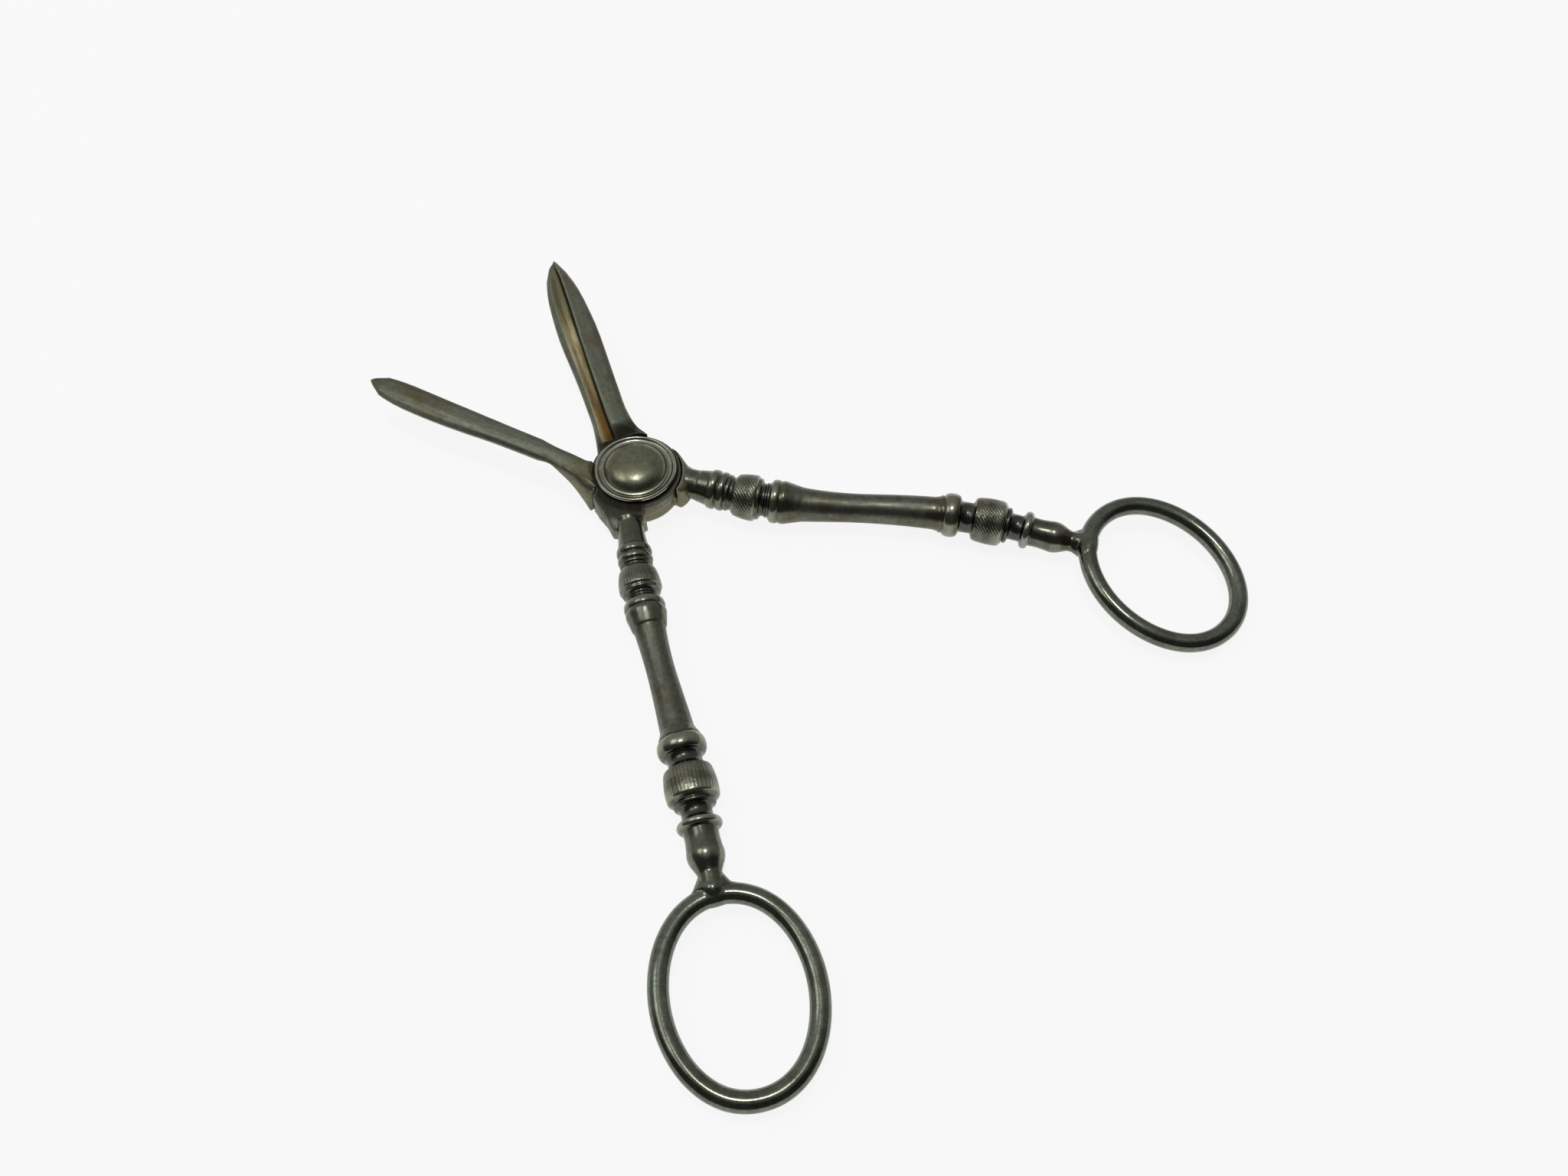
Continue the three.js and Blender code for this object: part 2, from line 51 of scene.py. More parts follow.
# Bearings of the two blades from +X
FLUTED_BEARING = math.radians(111.5)
PLAIN_BEARING = math.radians(156.5)

# Fluted blade: its outer edge and its step, as distance from the pivot and offset
LEFT_EDGE = [
    (4, 6.3), (9, 5.3), (14, 4.6), (20, 4.3), (28, 4.3), (38, 4.5), (48, 3.9), (54, 2.9),
    (58, 1.6), (59.3, 0.5),
]
STEP_EDGE = [
    (4, 1.5), (9, 1.5), (14, 1.5), (20, 1.3), (28, 1), (38, 0.5), (48, 0), (54, -0.2),
    (58, -0.1), (59.3, 0),
]
LEDGE_HEIGHT = 8
LEDGE_START = 8.8
LEDGE_HOLLOW = 1.5
LEDGE_LEAST = 0.3
STEP_SLACK = 0.1

# Blades: how their skin is joined, how fine it is, and how far the file rounded their edges
SKIN_WELD = 0.001
BLADE_VOXEL = 0.17
BLADE_SMOOTHING = 5

# Roots of the blades, forged round between two distances from the pivot and above the hub's floor,
# but not on walls that face the pivot, and how round each is
ROOT_START = 8.7
ROOT_END = 19
ROOT_FADE = 4
ROOT_FLOOR = 2.5
FLOOR_FADE = 2
WALL_LIMIT = 0.5
WALL_FADE = 0.25
STEPPED_ROOT_SMOOTHING = 120
NARROW_ROOT_SMOOTHING = 320

# Tips of the blades, worn round beyond a distance, and how much shorter by its square
TIP_START = 55
TIP_FADE = 2
TIP_ROUNDING = 0.8
STEPPED_BLUNTNESS = 0
NARROW_BLUNTNESS = 0.03

# Wear in the hollows and on the edges, where the finish also paints highlight, and the stretch of the
# narrow blade's root that has none
CLEAN_ANGLE = math.radians(100)
DIRT_ANGLE = math.radians(80)
BLADE_WEAR_BLUR = 6
EVEN_WEAR = (0.5, 0.5, 0.5, 1)
ROLLED_ROOT = (4.5, 17.5)

# Metal left by the smith, as corners in plan with a low and a high end: between hub and neck on each
# arm, and along and outside the web that carries the narrow blade, both drawn along that blade
RIGHT_SHOULDER = [
    (6.22, 6.44, 2.6, 7.8), (7, 5.85, 2.6, 7.8), (8.3, 4.6, 2.6, 7.8), (9.5, 2.9, 2.6, 7.6),
    (10.1, 2.3, 2.8, 7.2), (10.6, 1.8, 2.8, 7), (10.6, -2.9, 2.8, 7), (10.1, -3.6, 2.8, 7.2),
    (9.6, -4.1, 2.6, 7.6), (8.95, -4.85, 2.6, 7.8), (7.9, -4.28, 2.6, 7.8), (8.11, -3.78, 2.6, 7.8),
    (8.75, -1.86, 2.6, 7.8), (8.95, 0, 2.6, 7.8), (8.64, 2.32, 2.6, 7.8), (7.75, 4.48, 2.6, 7.8),
]
BOTTOM_SHOULDER = [
    (-7.7, -5.9, 2.6, 7.6), (-6.93, -7.6, 2.6, 7.4), (-5, -10, 2.6, 6.6), (-3.7, -12.6, 2.9, 5.9),
    (-2.4, -12.6, 2.9, 5.9), (0, -11.3, 2.8, 6.6), (2.3, -10.9, 2.8, 6.6), (2.4, -9.6, 2.6, 7.6),
    (2.2, -8.9, 2.6, 7.8), (-1.5, -9, 2.6, 7.8), (-4.22, -8.1, 2.6, 7.8), (-6.36, -6.5, 2.6, 7.8),
]
NARROW_WEB = [
    (5.95, 8.1, 4, 7.6), (7, 7.7, 5, 7.9), (8.5, 7.2, 6, 8.4), (10.9, 6.5, 7.5, 9), (13.5, 6, 8.4, 9.3),
    (16, 5.8, 8.4, 9.3), (16, 4.6, 8.5, 9.7), (13, 4.4, 8.5, 9.9), (11, 4.5, 8.5, 9.7),
    (9.5, 5, 8.5, 9.35), (8, 5.9, 8.5, 8.9), (6.9, 7, 8.4, 8.6), (6.3, 7.5, 7.6, 8.3),
]
WEB_SKIRT = [
    (6.15, 8.35, 4, 6.6), (8.4, 7.6, 4.5, 7.3), (10.9, 6.95, 6, 8), (13.85, 6.45, 8, 8.7),
    (15.5, 6, 8.4, 9.1), (15.5, 5.8, 8.4, 9.3), (12.5, 5.95, 8.3, 9.35), (10.5, 6.35, 6, 9.05),
    (8, 6.75, 4.5, 8.65), (6.35, 7.2, 4.5, 8.2),
]

# Turned stems, from the first bead: round mouldings as place, half width, foot and crown radius,
# and the collar as places and radii
FIRST_BEAD = (0, 0.85, 3.15, 3.52)
SECOND_BEAD = (1.75, 0.7, 3.1, 3.47)
RIDGE = (2.9, 0.4, 3, 3.25)
SMALL_COLLAR = [
    (4.2, 3.4), (4.65, 3.7), (6, 3.98), (7.4, 4.12), (8.2, 4.1), (8.45, 3.9), (8.6, 3.75), (9.1, 3.68),
    (9.25, 3.5),
]
GROOVE_RIB = (10.4, 0.25, 2.95, 3.15)
LIP = (12.05, 0.8, 3.65, 3.95)
SHAFT_CREST = [(12.95, 3.78), (13.7, 3.9), (14.9, 3.64), (16.3, 3.32)]
SHAFT_START = 12.7
SHAFT_SWELL = [(0.18, 0.32), (0.84, 0.36)]

# The same from the end bead
TRUMPET = [(-2.9, 3.2), (-1.9, 3.62)]
END_BEAD = (0, 1.5, 3.5, 4.22)
LARGE_COLLAR = [
    (4.25, 3.75), (4.4, 4), (4.6, 4.05), (4.8, 4.15), (6.3, 4.38), (7.9, 4.45), (9.3, 4.38),
    (9.75, 4.2), (9.9, 3.95), (10.1, 3.75),
]
COVE_RING = (10.65, 0.4, 3.2, 3.5)
RIM_DISC = (14.4, 0.8, 2.95, 3.7)
VASE = [
    (15.4, 2.85), (16.8, 2.8), (18.4, 2.92), (19.6, 3.05), (20.7, 2.85), (21.7, 2.4), (22.6, 2.02),
    (23.3, 1.98),
]
COLLAR_CREST = (7.9, 4.46)
TAIL_AT = 23.3
TAIL_FLARE = [(1.2, 0.05), (2.2, 0.12)]
GROOVE_RADIUS = 2.95
THIN_GROOVE_RADIUS = 2.55
GROOVE_GAP = 0.3
TAIL_CAP = 0.2
STEM_SIDES = 72
SPIN_WELD = 0.002

# Rouletted stretch of the small collar, from the first bead, and of the large one, from the end bead
SMALL_BAND = (4.65, 8.2)
LARGE_BAND = (4.8, 9.3)

# Wear on a stem: how far it looks to each side, how near counts as the same place, and how strong
# it is; then the rubbed shaft's start from the first bead, end from the end bead, and ramp
WEAR_WINDOW = 2
SAME_PLACE = 0.02
WEAR_CONTRAST = 0.6
RUB_START = 13.7
RUB_END = -1.9
RUB_RAMP = 3.5

# Stations that steer the bowed axis, and the neck that flares onto the hub's shoulder
ROOT_STATION = 8
AXIS_COLLAR = 10.1
AXIS_END_BEAD = 2.8
HUB_AXIS_HEIGHT = 5.15
NECK_BACK = 3
NECK_RADIUS = 2.8
NECK_FLARE = 3.1
NECK_DIP = (1.2, 0.25)
NECK_HALF_HEIGHT = 2.75
LEAST_RADIUS = 0.1
WIRE_RADIUS = 1.72

# Hard solder at a ring: half sizes of its run along the wire; the rod as radius, length and place;
# the knob as radius, place and rise; the webs as radii, length, place and flatness
BRAZE_RUN = (5, 1.9, 1.85)
BRAZE_ROD = (1.95, 3.4, 0.7)
BRAZE_KNOB = (2, 2.1, 0.35)
BRAZE_WEBS = (1.6, 3.5, 3.2, 0.5, 0.6)
BRAZE_SIDES = 48
BRAZE_VOXEL = 0.16
BRAZE_SMOOTHING = 24

# Each handle: bearing of its ring from +X, side to which it bows, places of its root and first bead,
# length of its shaft, waist as share of the shaft and radius, bow at the four stations, girth at the
# hub and at the ring, and the ring
BOTTOM_HANDLE = {
    "bearing": math.radians(283),
    "outward": -1,
    "root": 9.3,
    "first_bead": 16.7,
    "shaft": 28.2,
    "waist": (0.45, 2.58),
    "bow": (2.98, 3.2, 1.3, 0.85),
    "girth": (0.94, 1.05),
    "ring": {"distance": 100, "long": 16, "short": 12.3, "turn": math.radians(1), "tilt": 0},
}
RIGHT_HANDLE = {
    "bearing": math.radians(-10.9),
    "outward": 1,
    "root": 9,
    "first_bead": 15.05,
    "shaft": 32.8,
    "waist": (0.45, 2.68),
    "bow": (1.5, 0.56, 4.7, 3.4),
    "girth": (1.09, 0.97),
    "ring": {
        "distance": 100.8, "long": 15.4, "short": 12.5, "turn": math.radians(-40.7),
        "tilt": math.radians(5),
    },
}

# Pivot: dome with its flange, as rise and change of radius; cup washer with its round lip, as height
# and width, and its cove, as drop from the top and change of radius; and nut
DOME_RADIUS = 6.4
DOME_SHOULDER = 5.9
DOME_FULLNESS = 0.84
DOME_SEAT = 8.75
DOME_TOP = 11.15
DOME_FLANGE = [(0, -0.12), (0.1, 0), (0.2, -0.06)]
DOME_CREASE = (0.26, 0.25)
DOME_FOOT = 0.3
DOME_STEPS = 32
WASHER_RADIUS = 7.8
WASHER_BOTTOM = 8.3
WASHER_TOP = 9.15
WASHER_CORNER = 0.3
WASHER_LIP = (0.42, 0.38)
LIP_ANGLES = (-50, 200)
LIP_STEPS = 16
COVE_SLOPE = (0.36, 0.95)
COVE_FLOOR = [(0.43, 0.05), (0.42, -0.3)]
BORE_RADIUS = 2.8
NUT_RADIUS = 5.5
NUT_TOP = 2
NUT_LAND = 1.6
NUT_RECESS = (0.3, 0.4)
NUT_EDGE = 0.25
NUT_SIDES = 64
TURNED_SIDES = 96
SHARP_ANGLE = math.radians(35)
RIM_SHARP_ANGLE = math.radians(40)

# Finishes: colour of the metal, its tarnish and its brown blotches, roughness, and depth of the
# polishing lines. The blades are dull satin, the dome is smoother and yellower, the turned stems and
# the wire are polished and dark, the rouletted collars are duller, and the washer is a lighter copy of
# the plate, as painted sheen for its bright rim.
SATIN_FINISH = ("#7d8171", "#55594d", "#6d5c3d", 0.48, 0.003)
DOME_FINISH = ("#83866f", "#5a5c4e", "#6b5c3c", 0.27, 0.003)
TURNED_FINISH = ("#737668", "#464940", "#5c4d33", 0.2, 0.002)
ROULETTE_FINISH = ("#77796a", "#4a4c40", "#65553a", 0.3, 0.002)
WIRE_FINISH = ("#798072", "#4b4f47", "#5d5747", 0.15, 0.002)
# Painted sheen: the washer's lighter metal makes its rim show bright
WASHER_SHEEN_FINISH = ("#b0b0a4", "#74746a", "#81755a", 0.2, 0.003)
RUBBED_ROUGHNESS = 0.2

# Sizes of their patterns, and how much longer than wide the polishing lines are. The lines are drawn
# coarser than the real ones, so that they show.
BLOTCH_SIZE = 6
SPECK_SIZE = 0.9
LINE_SIZE = 0.4
LINE_STRETCH = 14

# Colours of hollows and of worn edges, which also carry painted highlight, and of the painted shade and
# the stain round the pivot, with their strength, the distances from the axis where they start and are
# full, and the heights where the painted shade starts and is full
HOLLOW_COLOUR = "#464944"
EDGE_WEAR_AND_SHEEN_COLOUR = "#a3a393"
# Painted shade: the hub's top next to the washer is darkened, standing in for the shade beside the
# washer's rim
PIVOT_SHADE_COLOUR = "#2a2820"
HUB_SHADE = 0.8
SHADE_REACH = (12.5, 9.6)
SHADE_HEIGHT = (7, 7.9)
SHADE_RING_ROUGHNESS = 0.35
STAIN_COLOUR = "#837c5e"
ROOT_STAIN = 0.8
STAIN_REACH = (17, 11)

# Roulette: spacing, colour and contrast of its lines, lean and depth on each handle, uneven ground.
# Bands of Blender's wave texture repeat every WAVE_PERIOD at scale 1.
WAVE_PERIOD = 0.31416
ROULETTE_PITCH = 0.42
ROULETTE_COLOUR = "#2b2a22"
ROULETTE_CONTRAST = 12
SLANT_ROULETTE = (math.radians(40), 0.05)
STRAIGHT_ROULETTE = (0, 0.03)
CHATTER_SIZE = 0.8
CHATTER_DEPTH = 2.5

# Stain in the channel of the stepped blade: its streaks, its colours with the painted shade at the foot
# of the step, and where along the blade it turns dull and brown
CHANNEL_STREAK = 0.9
CHANNEL_STRETCH = 9
CHANNEL_KHAKI = "#94855a"
CHANNEL_PALE = "#d6cba4"
CHANNEL_DULL = "#6b6951"
CHANNEL_BROWN = "#6f5123"
# Painted shade in the crease at the foot of the step
STEP_FOOT_SHADE_COLOUR = "#1a140b"
DULL_STRETCH = (34, 52)
BROWN_STRETCH = (32, 14)

# Light: where the lamps aim, each lamp's place, width and power; the table's width, and how much of
# its look is plain white without shadow
LAMP_AIM = (20, -25, 0)
CEILING_LAMP = ((-100, 140, 3000), 540, 15)
WINDOW_LAMP = ((-900, 60, 1400), 700, 3)
TABLE_SIZE = 4000
TABLE_WHITE = 0.88


def linear(colour):
    """sRGB hex to the linear colour that Blender's sockets take."""
    parts = [int(colour[i:i + 2], 16) / 255 for i in (1, 3, 5)]
    return [c / 12.92 if c <= 0.04045 else ((c + 0.055) / 1.055) ** 2.4 for c in parts] + [1]


def size(millimetres):
    """Texture scale that repeats about once in this many millimetres."""
    return 1 / (millimetres * MM)


def add_node(tree, kind, inputs, **settings):
    """A node with its settings, its constants and its links."""
    node = tree.nodes.new(kind)
    for name, value in settings.items():
        setattr(node, name, value)
    for socket, value in inputs.items():
        if isinstance(value, bpy.types.NodeSocket):
            tree.links.new(value, node.inputs[socket])
        else:
            node.inputs[socket].default_value = value
    return node


def begin(add, **settings):
    """Deselects everything, adds a primitive and returns it in object mode."""
    bpy.ops.object.select_all(action="DESELECT")
    add(**settings)
    return bpy.context.object


def choose(piece):
    """Makes one object the only selected and active one."""
    bpy.ops.object.select_all(action="DESELECT")
    piece.select_set(True)
    bpy.context.view_layer.objects.active = piece


def modify(piece, kind, **settings):
    """Adds a modifier and applies it at once."""
    choose(piece)
    modifier = piece.modifiers.new(kind.lower(), kind)
    for name, value in settings.items():
        setattr(modifier, name, value)
    bpy.ops.object.modifier_apply(modifier=modifier.name)


def settle(piece, name):
    """Names a piece and puts its place into its mesh."""
    choose(piece)
    piece.name = name
    piece.data.name = name
    bpy.ops.object.transform_apply(location=True, rotation=True, scale=True)


def turned(name, outline, axis, sides):
    """Solid of revolution: an outline of (along, radius) drawn by extruding a point, then spun."""
    across = Vector((0, 1, 0))
    points = [(axis * along + across * radius) * MM for along, radius in outline]
    piece = begin(bpy.ops.mesh.primitive_plane_add, size=MM, location=(0, 0, 0))
    bpy.ops.object.mode_set(mode="EDIT")
    bpy.ops.mesh.merge(type="CENTER")
    bpy.ops.transform.translate(value=points[0])
    for here, there in zip(points, points[1:]):
        bpy.ops.mesh.extrude_vertices_move(TRANSFORM_OT_translate={"value": there - here})
    bpy.ops.mesh.select_all(action="SELECT")
    bpy.ops.mesh.spin(steps=sides, angle=2 * math.pi, center=(0, 0, 0), axis=axis)
    bpy.ops.mesh.select_all(action="SELECT")
    bpy.ops.mesh.remove_doubles(threshold=SPIN_WELD * MM)
    bpy.ops.mesh.normals_make_consistent(inside=False)
    bpy.ops.object.mode_set(mode="OBJECT")
    settle(piece, name)
    return piece


def curve_through(points, count):
    """Smooth line through points by uniform Catmull-Rom spans."""
    padded = [points[0], *points, points[-1]]
    line = []
    for i in range(len(points) - 1):
        a, b, c, d = (Vector(p) for p in padded[i:i + 4])
        for k in range(count):
            t = k / count
            line.append(0.5 * (
                2 * b + (c - a) * t + (2 * a - 5 * b + 4 * c - d) * t ** 2
                + (3 * b - a - 3 * c + d) * t ** 3
            ))
    line.append(Vector(points[-1]))
    return [tuple(p) for p in line]


def bead(start, moulding, count=12):
    """Half-round moulding of a turned outline."""
    at, half, foot, crown = moulding
    angles = [math.pi * i / count for i in range(count + 1)]
    return [(start + at - half * math.cos(a), foot + (crown - foot) * math.sin(a)) for a in angles]


def shifted(start, points):
    """Places of a moulding counted from a start."""
    return [(start + at, radius) for at, radius in points]


def interpolate(points, x):
    """Height of a line of points at x."""
    for (x0, y0), (x1, y1) in zip(points, points[1:]):
        if x <= x1:
            return y0 + (y1 - y0) * (x - x0) / (x1 - x0)
    return points[-1][1]


def stem_stations(handle):
    """End bead, rim disc and tail stations of a handle."""
    end_bead = handle["first_bead"] + SHAFT_START + handle["shaft"]
    return end_bead, end_bead + RIM_DISC[0], end_bead + TAIL_AT


def girth_at(handle, station):
    """Scale of the mouldings, which changes evenly from the hub to the ring."""
    first = handle["first_bead"]
    disc = stem_stations(handle)[1]
    share = min(max((station - first) / (disc - first), 0), 1)
    start, end = handle["girth"]
    return start + (end - start) * share


def axis_height(handle, station):
    """Height of the stem's axis, which falls until the large collar lies on the table."""
    at, crest = COLLAR_CREST
    collar = stem_stations(handle)[0] + at
    drop = HUB_AXIS_HEIGHT - crest * girth_at(handle, collar)
    return HUB_AXIS_HEIGHT - drop * station / collar


def in_world(handle, along, across):
    """A point of a handle's own frame, at the height of its axis, in metres."""
    point = Vector((along, across, axis_height(handle, along))) * MM
    return Matrix.Rotation(handle["bearing"], 3, "Z") @ point


def groove(start, end, radius):
    """Flat floor between two mouldings."""
    return [(start + GROOVE_GAP, radius), (end - GROOVE_GAP, radius)]


def stem_outline(handle):
    """Outline of a turned stem as (station, radius), from the hub to the ring."""
    first = handle["first_bead"]
    end_bead, disc, tail = stem_stations(handle)
    shaft = first + SHAFT_START
    length = handle["shaft"]
    waist_at, waist = handle["waist"]
    swells = [(shaft + at * length, waist + swell) for at, swell in SHAFT_SWELL]
    outline = [(handle["root"], 0)]
    outline += curve_through([
        (handle["root"], NECK_FLARE),
        (handle["root"] + NECK_DIP[0], 0.5 * (NECK_FLARE + NECK_RADIUS) - NECK_DIP[1]),
        (first - NECK_BACK, NECK_RADIUS),
        (first - FIRST_BEAD[1], FIRST_BEAD[2]),
    ], 8)
    outline += bead(first, FIRST_BEAD)
    outline += bead(first, SECOND_BEAD)
    outline += bead(first, RIDGE, 8)
    outline += groove(first + RIDGE[0] + RIDGE[1], first + SMALL_COLLAR[0][0], GROOVE_RADIUS)
    outline += curve_through(shifted(first, SMALL_COLLAR), 5)
    outline += groove(first + SMALL_COLLAR[-1][0], first + GROOVE_RIB[0] - GROOVE_RIB[1], GROOVE_RADIUS)
    outline += bead(first, GROOVE_RIB, 8)
    outline += bead(first, LIP)
    outline += curve_through([
        *shifted(first, SHAFT_CREST), swells[0], (shaft + waist_at * length, waist), swells[1],
        *shifted(end_bead, TRUMPET),
    ], 8)
    outline += bead(end_bead, END_BEAD, 16)
    outline += groove(end_bead + END_BEAD[1], end_bead + LARGE_COLLAR[0][0], GROOVE_RADIUS)
    outline += curve_through(shifted(end_bead, LARGE_COLLAR), 5)
    outline += bead(end_bead, COVE_RING, 8)
    outline += groove(end_bead + COVE_RING[0] + COVE_RING[1], disc - RIM_DISC[1], THIN_GROOVE_RADIUS)
    outline += bead(end_bead, RIM_DISC)
    flare = [(tail + at, VASE[-1][1] + swell) for at, swell in TAIL_FLARE]
    outline += curve_through([*shifted(end_bead, VASE), *flare], 6)
    outline += [(flare[-1][0] + TAIL_CAP, 0)]
    return [(station, radius * girth_at(handle, station)) for station, radius in outline]


def wrap_around(stem):
    """UV map of a straight stem in metres: u around it, from below, and v along it."""
    layer = stem.data.uv_layers.new(name="turned")
    for face in stem.data.polygons:
        corners = [stem.data.vertices[i].co for i in face.vertices]
        turns = [0.5 + math.atan2(c.y, c.z) / (2 * math.pi) for c in corners]
        if max(turns) - min(turns) > 0.5:
            turns = [turn + 1 if turn < 0.5 else turn for turn in turns]
        for loop, turn, corner in zip(face.loop_indices, turns, corners):
            layer.data[loop].uv = (turn * 2 * math.pi * GROOVE_RADIUS * MM, corner.x)


def mark_grooves(stem, outline, shaft):
    """Two attributes of a stem: wear, dark where it is thinner than just beside and light on the
    crests, and rubbed, which is 1 on the plain shaft."""
    wear = stem.data.attributes.new(name="wear", type="FLOAT", domain="POINT")
    rubbed = stem.data.attributes.new(name="rubbed", type="FLOAT", domain="POINT")
    start, end = shaft
    shades = {}
    for vertex in stem.data.vertices:
        station = round(vertex.co.x / MM, 2)
        if station not in shades:
            near = [(abs(at - station), radius) for at, radius in outline]
            beside = [radius for gap, radius in near if gap < WEAR_WINDOW and radius > 0]
            here = [radius for gap, radius in near if gap < SAME_PLACE]
            mean = sum(beside) / max(len(beside), 1)
            shades[station] = 0.5 + WEAR_CONTRAST * (max(here, default=mean) - mean)
        share = min(max(min(station - start, end - station) / RUB_RAMP, 0), 1)
        wear.data[vertex.index].value = shades[station] if share == 0 else 0.5
        rubbed.data[vertex.index].value = share


def add_stem(name, handle):
    """Turned stem: spun straight, pressed flat where it meets the hub, then bent along its axis."""
    end_bead, _, tail = stem_stations(handle)
    outline = stem_outline(handle)
    stem = turned(name, outline, Vector((1, 0, 0)), STEM_SIDES)
    first = handle["first_bead"]
    wrap_around(stem)
    mark_grooves(stem, outline, (first + RUB_START, end_bead + RUB_END))
    bands = [
        (first + SMALL_BAND[0], first + SMALL_BAND[1]),
        (end_bead + LARGE_BAND[0], end_bead + LARGE_BAND[1]),
    ]
    for face in stem.data.polygons:
        station = face.center.x / MM
        if any(start < station < end for start, end in bands):
            face.material_index = 1
    for vertex in stem.data.vertices:
        if vertex.co.x < (first - NECK_BACK) * MM:
            radius = math.hypot(vertex.co.y, vertex.co.z) / MM
            vertex.co.z *= min(1, NECK_HALF_HEIGHT / max(radius, LEAST_RADIUS))
    stations = [ROOT_STATION, first + AXIS_COLLAR, end_bead + AXIS_END_BEAD, tail]
    points = [in_world(handle, s, handle["outward"] * b) for s, b in zip(stations, handle["bow"])]
    path = begin(bpy.ops.curve.primitive_bezier_curve_add, location=(0, 0, 0))
    path.data.dimensions = "3D"
    path.data.resolution_u = 32
    spline = path.data.splines[0]
    spline.bezier_points.add(len(points) - len(spline.bezier_points))
    for knot, point in zip(spline.bezier_points, points):
        knot.co = point
        knot.handle_left_type = "AUTO"
        knot.handle_right_type = "AUTO"
    stretch = spline.calc_length() / ((tail - ROOT_STATION) * MM)
    for vertex in stem.data.vertices:
        vertex.co.x = (vertex.co.x - ROOT_STATION * MM) * stretch
    modify(stem, "CURVE", object=path, deform_axis="POS_X")
    bpy.data.objects.remove(path)
    choose(stem)
    bpy.ops.object.shade_smooth()
    return stem


def ring_place(handle):
    """Centre of a finger ring, and the matrix that turns and tilts its plane."""
    ring = handle["ring"]
    turn = Matrix.Rotation(handle["bearing"] + ring["turn"], 3, "Z")
    return in_world(handle, ring["distance"], 0), turn @ Matrix.Rotation(ring["tilt"], 3, "Y")


def add_ring(name, handle):
    """Finger ring: an oval of round wire."""
    ring = handle["ring"]
    centre, turn = ring_place(handle)
    wire = begin(bpy.ops.curve.primitive_bezier_circle_add, radius=1, location=(0, 0, 0))
    bpy.ops.object.mode_set(mode="EDIT")
    bpy.ops.curve.select_all(action="SELECT")
    bpy.ops.transform.resize(value=(ring["long"] * MM, ring["short"] * MM, 1))
    bpy.ops.object.mode_set(mode="OBJECT")
    wire.data.resolution_u = 40
    wire.data.bevel_depth = WIRE_RADIUS * MM
    wire.data.bevel_resolution = 12
    wire.rotation_euler = turn.to_euler()
    wire.location = centre
    bpy.ops.object.convert(target="MESH")
    wire = bpy.context.object
    settle(wire, name)
    bpy.ops.object.shade_smooth()
    return wire


def add_braze(name, handle):
    """Lump of hard solder: it runs along the wire, with the stem's rod and its round end on top and
    a web on each side."""
    ring = handle["ring"]
    long, short = ring["long"], ring["short"]
    centre, turn = ring_place(handle)
    tail = stem_stations(handle)[2]
    side = handle["outward"] * handle["bow"][-1]
    start = in_world(handle, tail, side)
    toward = (in_world(handle, tail + 1, side) - start).normalized()
    local = turn.inverted() @ (start - centre)
    angle = math.atan2(local.y / short, local.x / long)
    joint = centre + turn @ Vector((long * math.cos(angle), short * math.sin(angle), 0)) * MM
    along = turn @ Vector((-long * math.sin(angle), short * math.cos(angle), 0))
    lump = begin(
        bpy.ops.mesh.primitive_uv_sphere_add, segments=BRAZE_SIDES, ring_count=BRAZE_SIDES // 2,
        radius=1, location=joint, rotation=(0, 0, math.atan2(along.y, along.x)),
        scale=[half * MM for half in BRAZE_RUN],
    )
    lean = toward.to_track_quat("Z", "Y").to_euler()
    radius, depth, place = BRAZE_ROD
    rod = begin(
        bpy.ops.mesh.primitive_cylinder_add, vertices=BRAZE_SIDES, radius=radius * MM,
        depth=depth * MM, location=start + toward * place * MM, rotation=lean,
    )
    radius, place, rise = BRAZE_KNOB
    knob = begin(
        bpy.ops.mesh.primitive_uv_sphere_add, segments=BRAZE_SIDES, ring_count=BRAZE_SIDES // 2,
        radius=radius * MM, location=start + (toward * place + Vector((0, 0, rise))) * MM,
    )
    narrow, wide, depth, place, flatness = BRAZE_WEBS
    webs = begin(
        bpy.ops.mesh.primitive_cone_add, vertices=BRAZE_SIDES, radius1=narrow * MM,
        radius2=wide * MM, depth=depth * MM, location=start + toward * place * MM, rotation=lean,
        scale=(1, flatness, 1),
    )
    for extra in (rod, knob, webs):
        extra.select_set(True)
    lump.select_set(True)
    bpy.context.view_layer.objects.active = lump
    bpy.ops.object.join()
    settle(lump, name)
    modify(lump, "REMESH", mode="VOXEL", voxel_size=BRAZE_VOXEL * MM)
    modify(lump, "SMOOTH", factor=0.5, iterations=BRAZE_SMOOTHING)
    choose(lump)
    bpy.ops.object.shade_smooth()
    return lump


def add_fill(corners, bearing):
    """Block of metal drawn in plan along a bearing and raised from its low to its high ends."""
    block = begin(
        bpy.ops.mesh.primitive_circle_add, vertices=len(corners), radius=MM, fill_type="NGON",
        location=(0, 0, 0),
    )
    turn = Matrix.Rotation(bearing, 3, "Z")
    bpy.ops.object.mode_set(mode="EDIT")
    bpy.ops.mesh.select_all(action="SELECT")
    bpy.ops.mesh.extrude_region_move(TRANSFORM_OT_translate={"value": (0, 0, MM)})
    bpy.ops.object.mode_set(mode="OBJECT")
    tops = [vertex for vertex in block.data.vertices if vertex.co.z > MM / 2]
    feet = [vertex for vertex in block.data.vertices if vertex.co.z < MM / 2]
    for ring, level in ((feet, 2), (tops, 3)):
        ring.sort(key=lambda vertex: math.atan2(vertex.co.y, vertex.co.x))
        for vertex, corner in zip(ring, corners):
            vertex.co = turn @ Vector((corner[0], corner[1], corner[level])) * MM
    bpy.ops.object.mode_set(mode="EDIT")
    bpy.ops.mesh.select_all(action="SELECT")
    bpy.ops.mesh.normals_make_consistent(inside=False)
    bpy.ops.object.mode_set(mode="OBJECT")
    return block


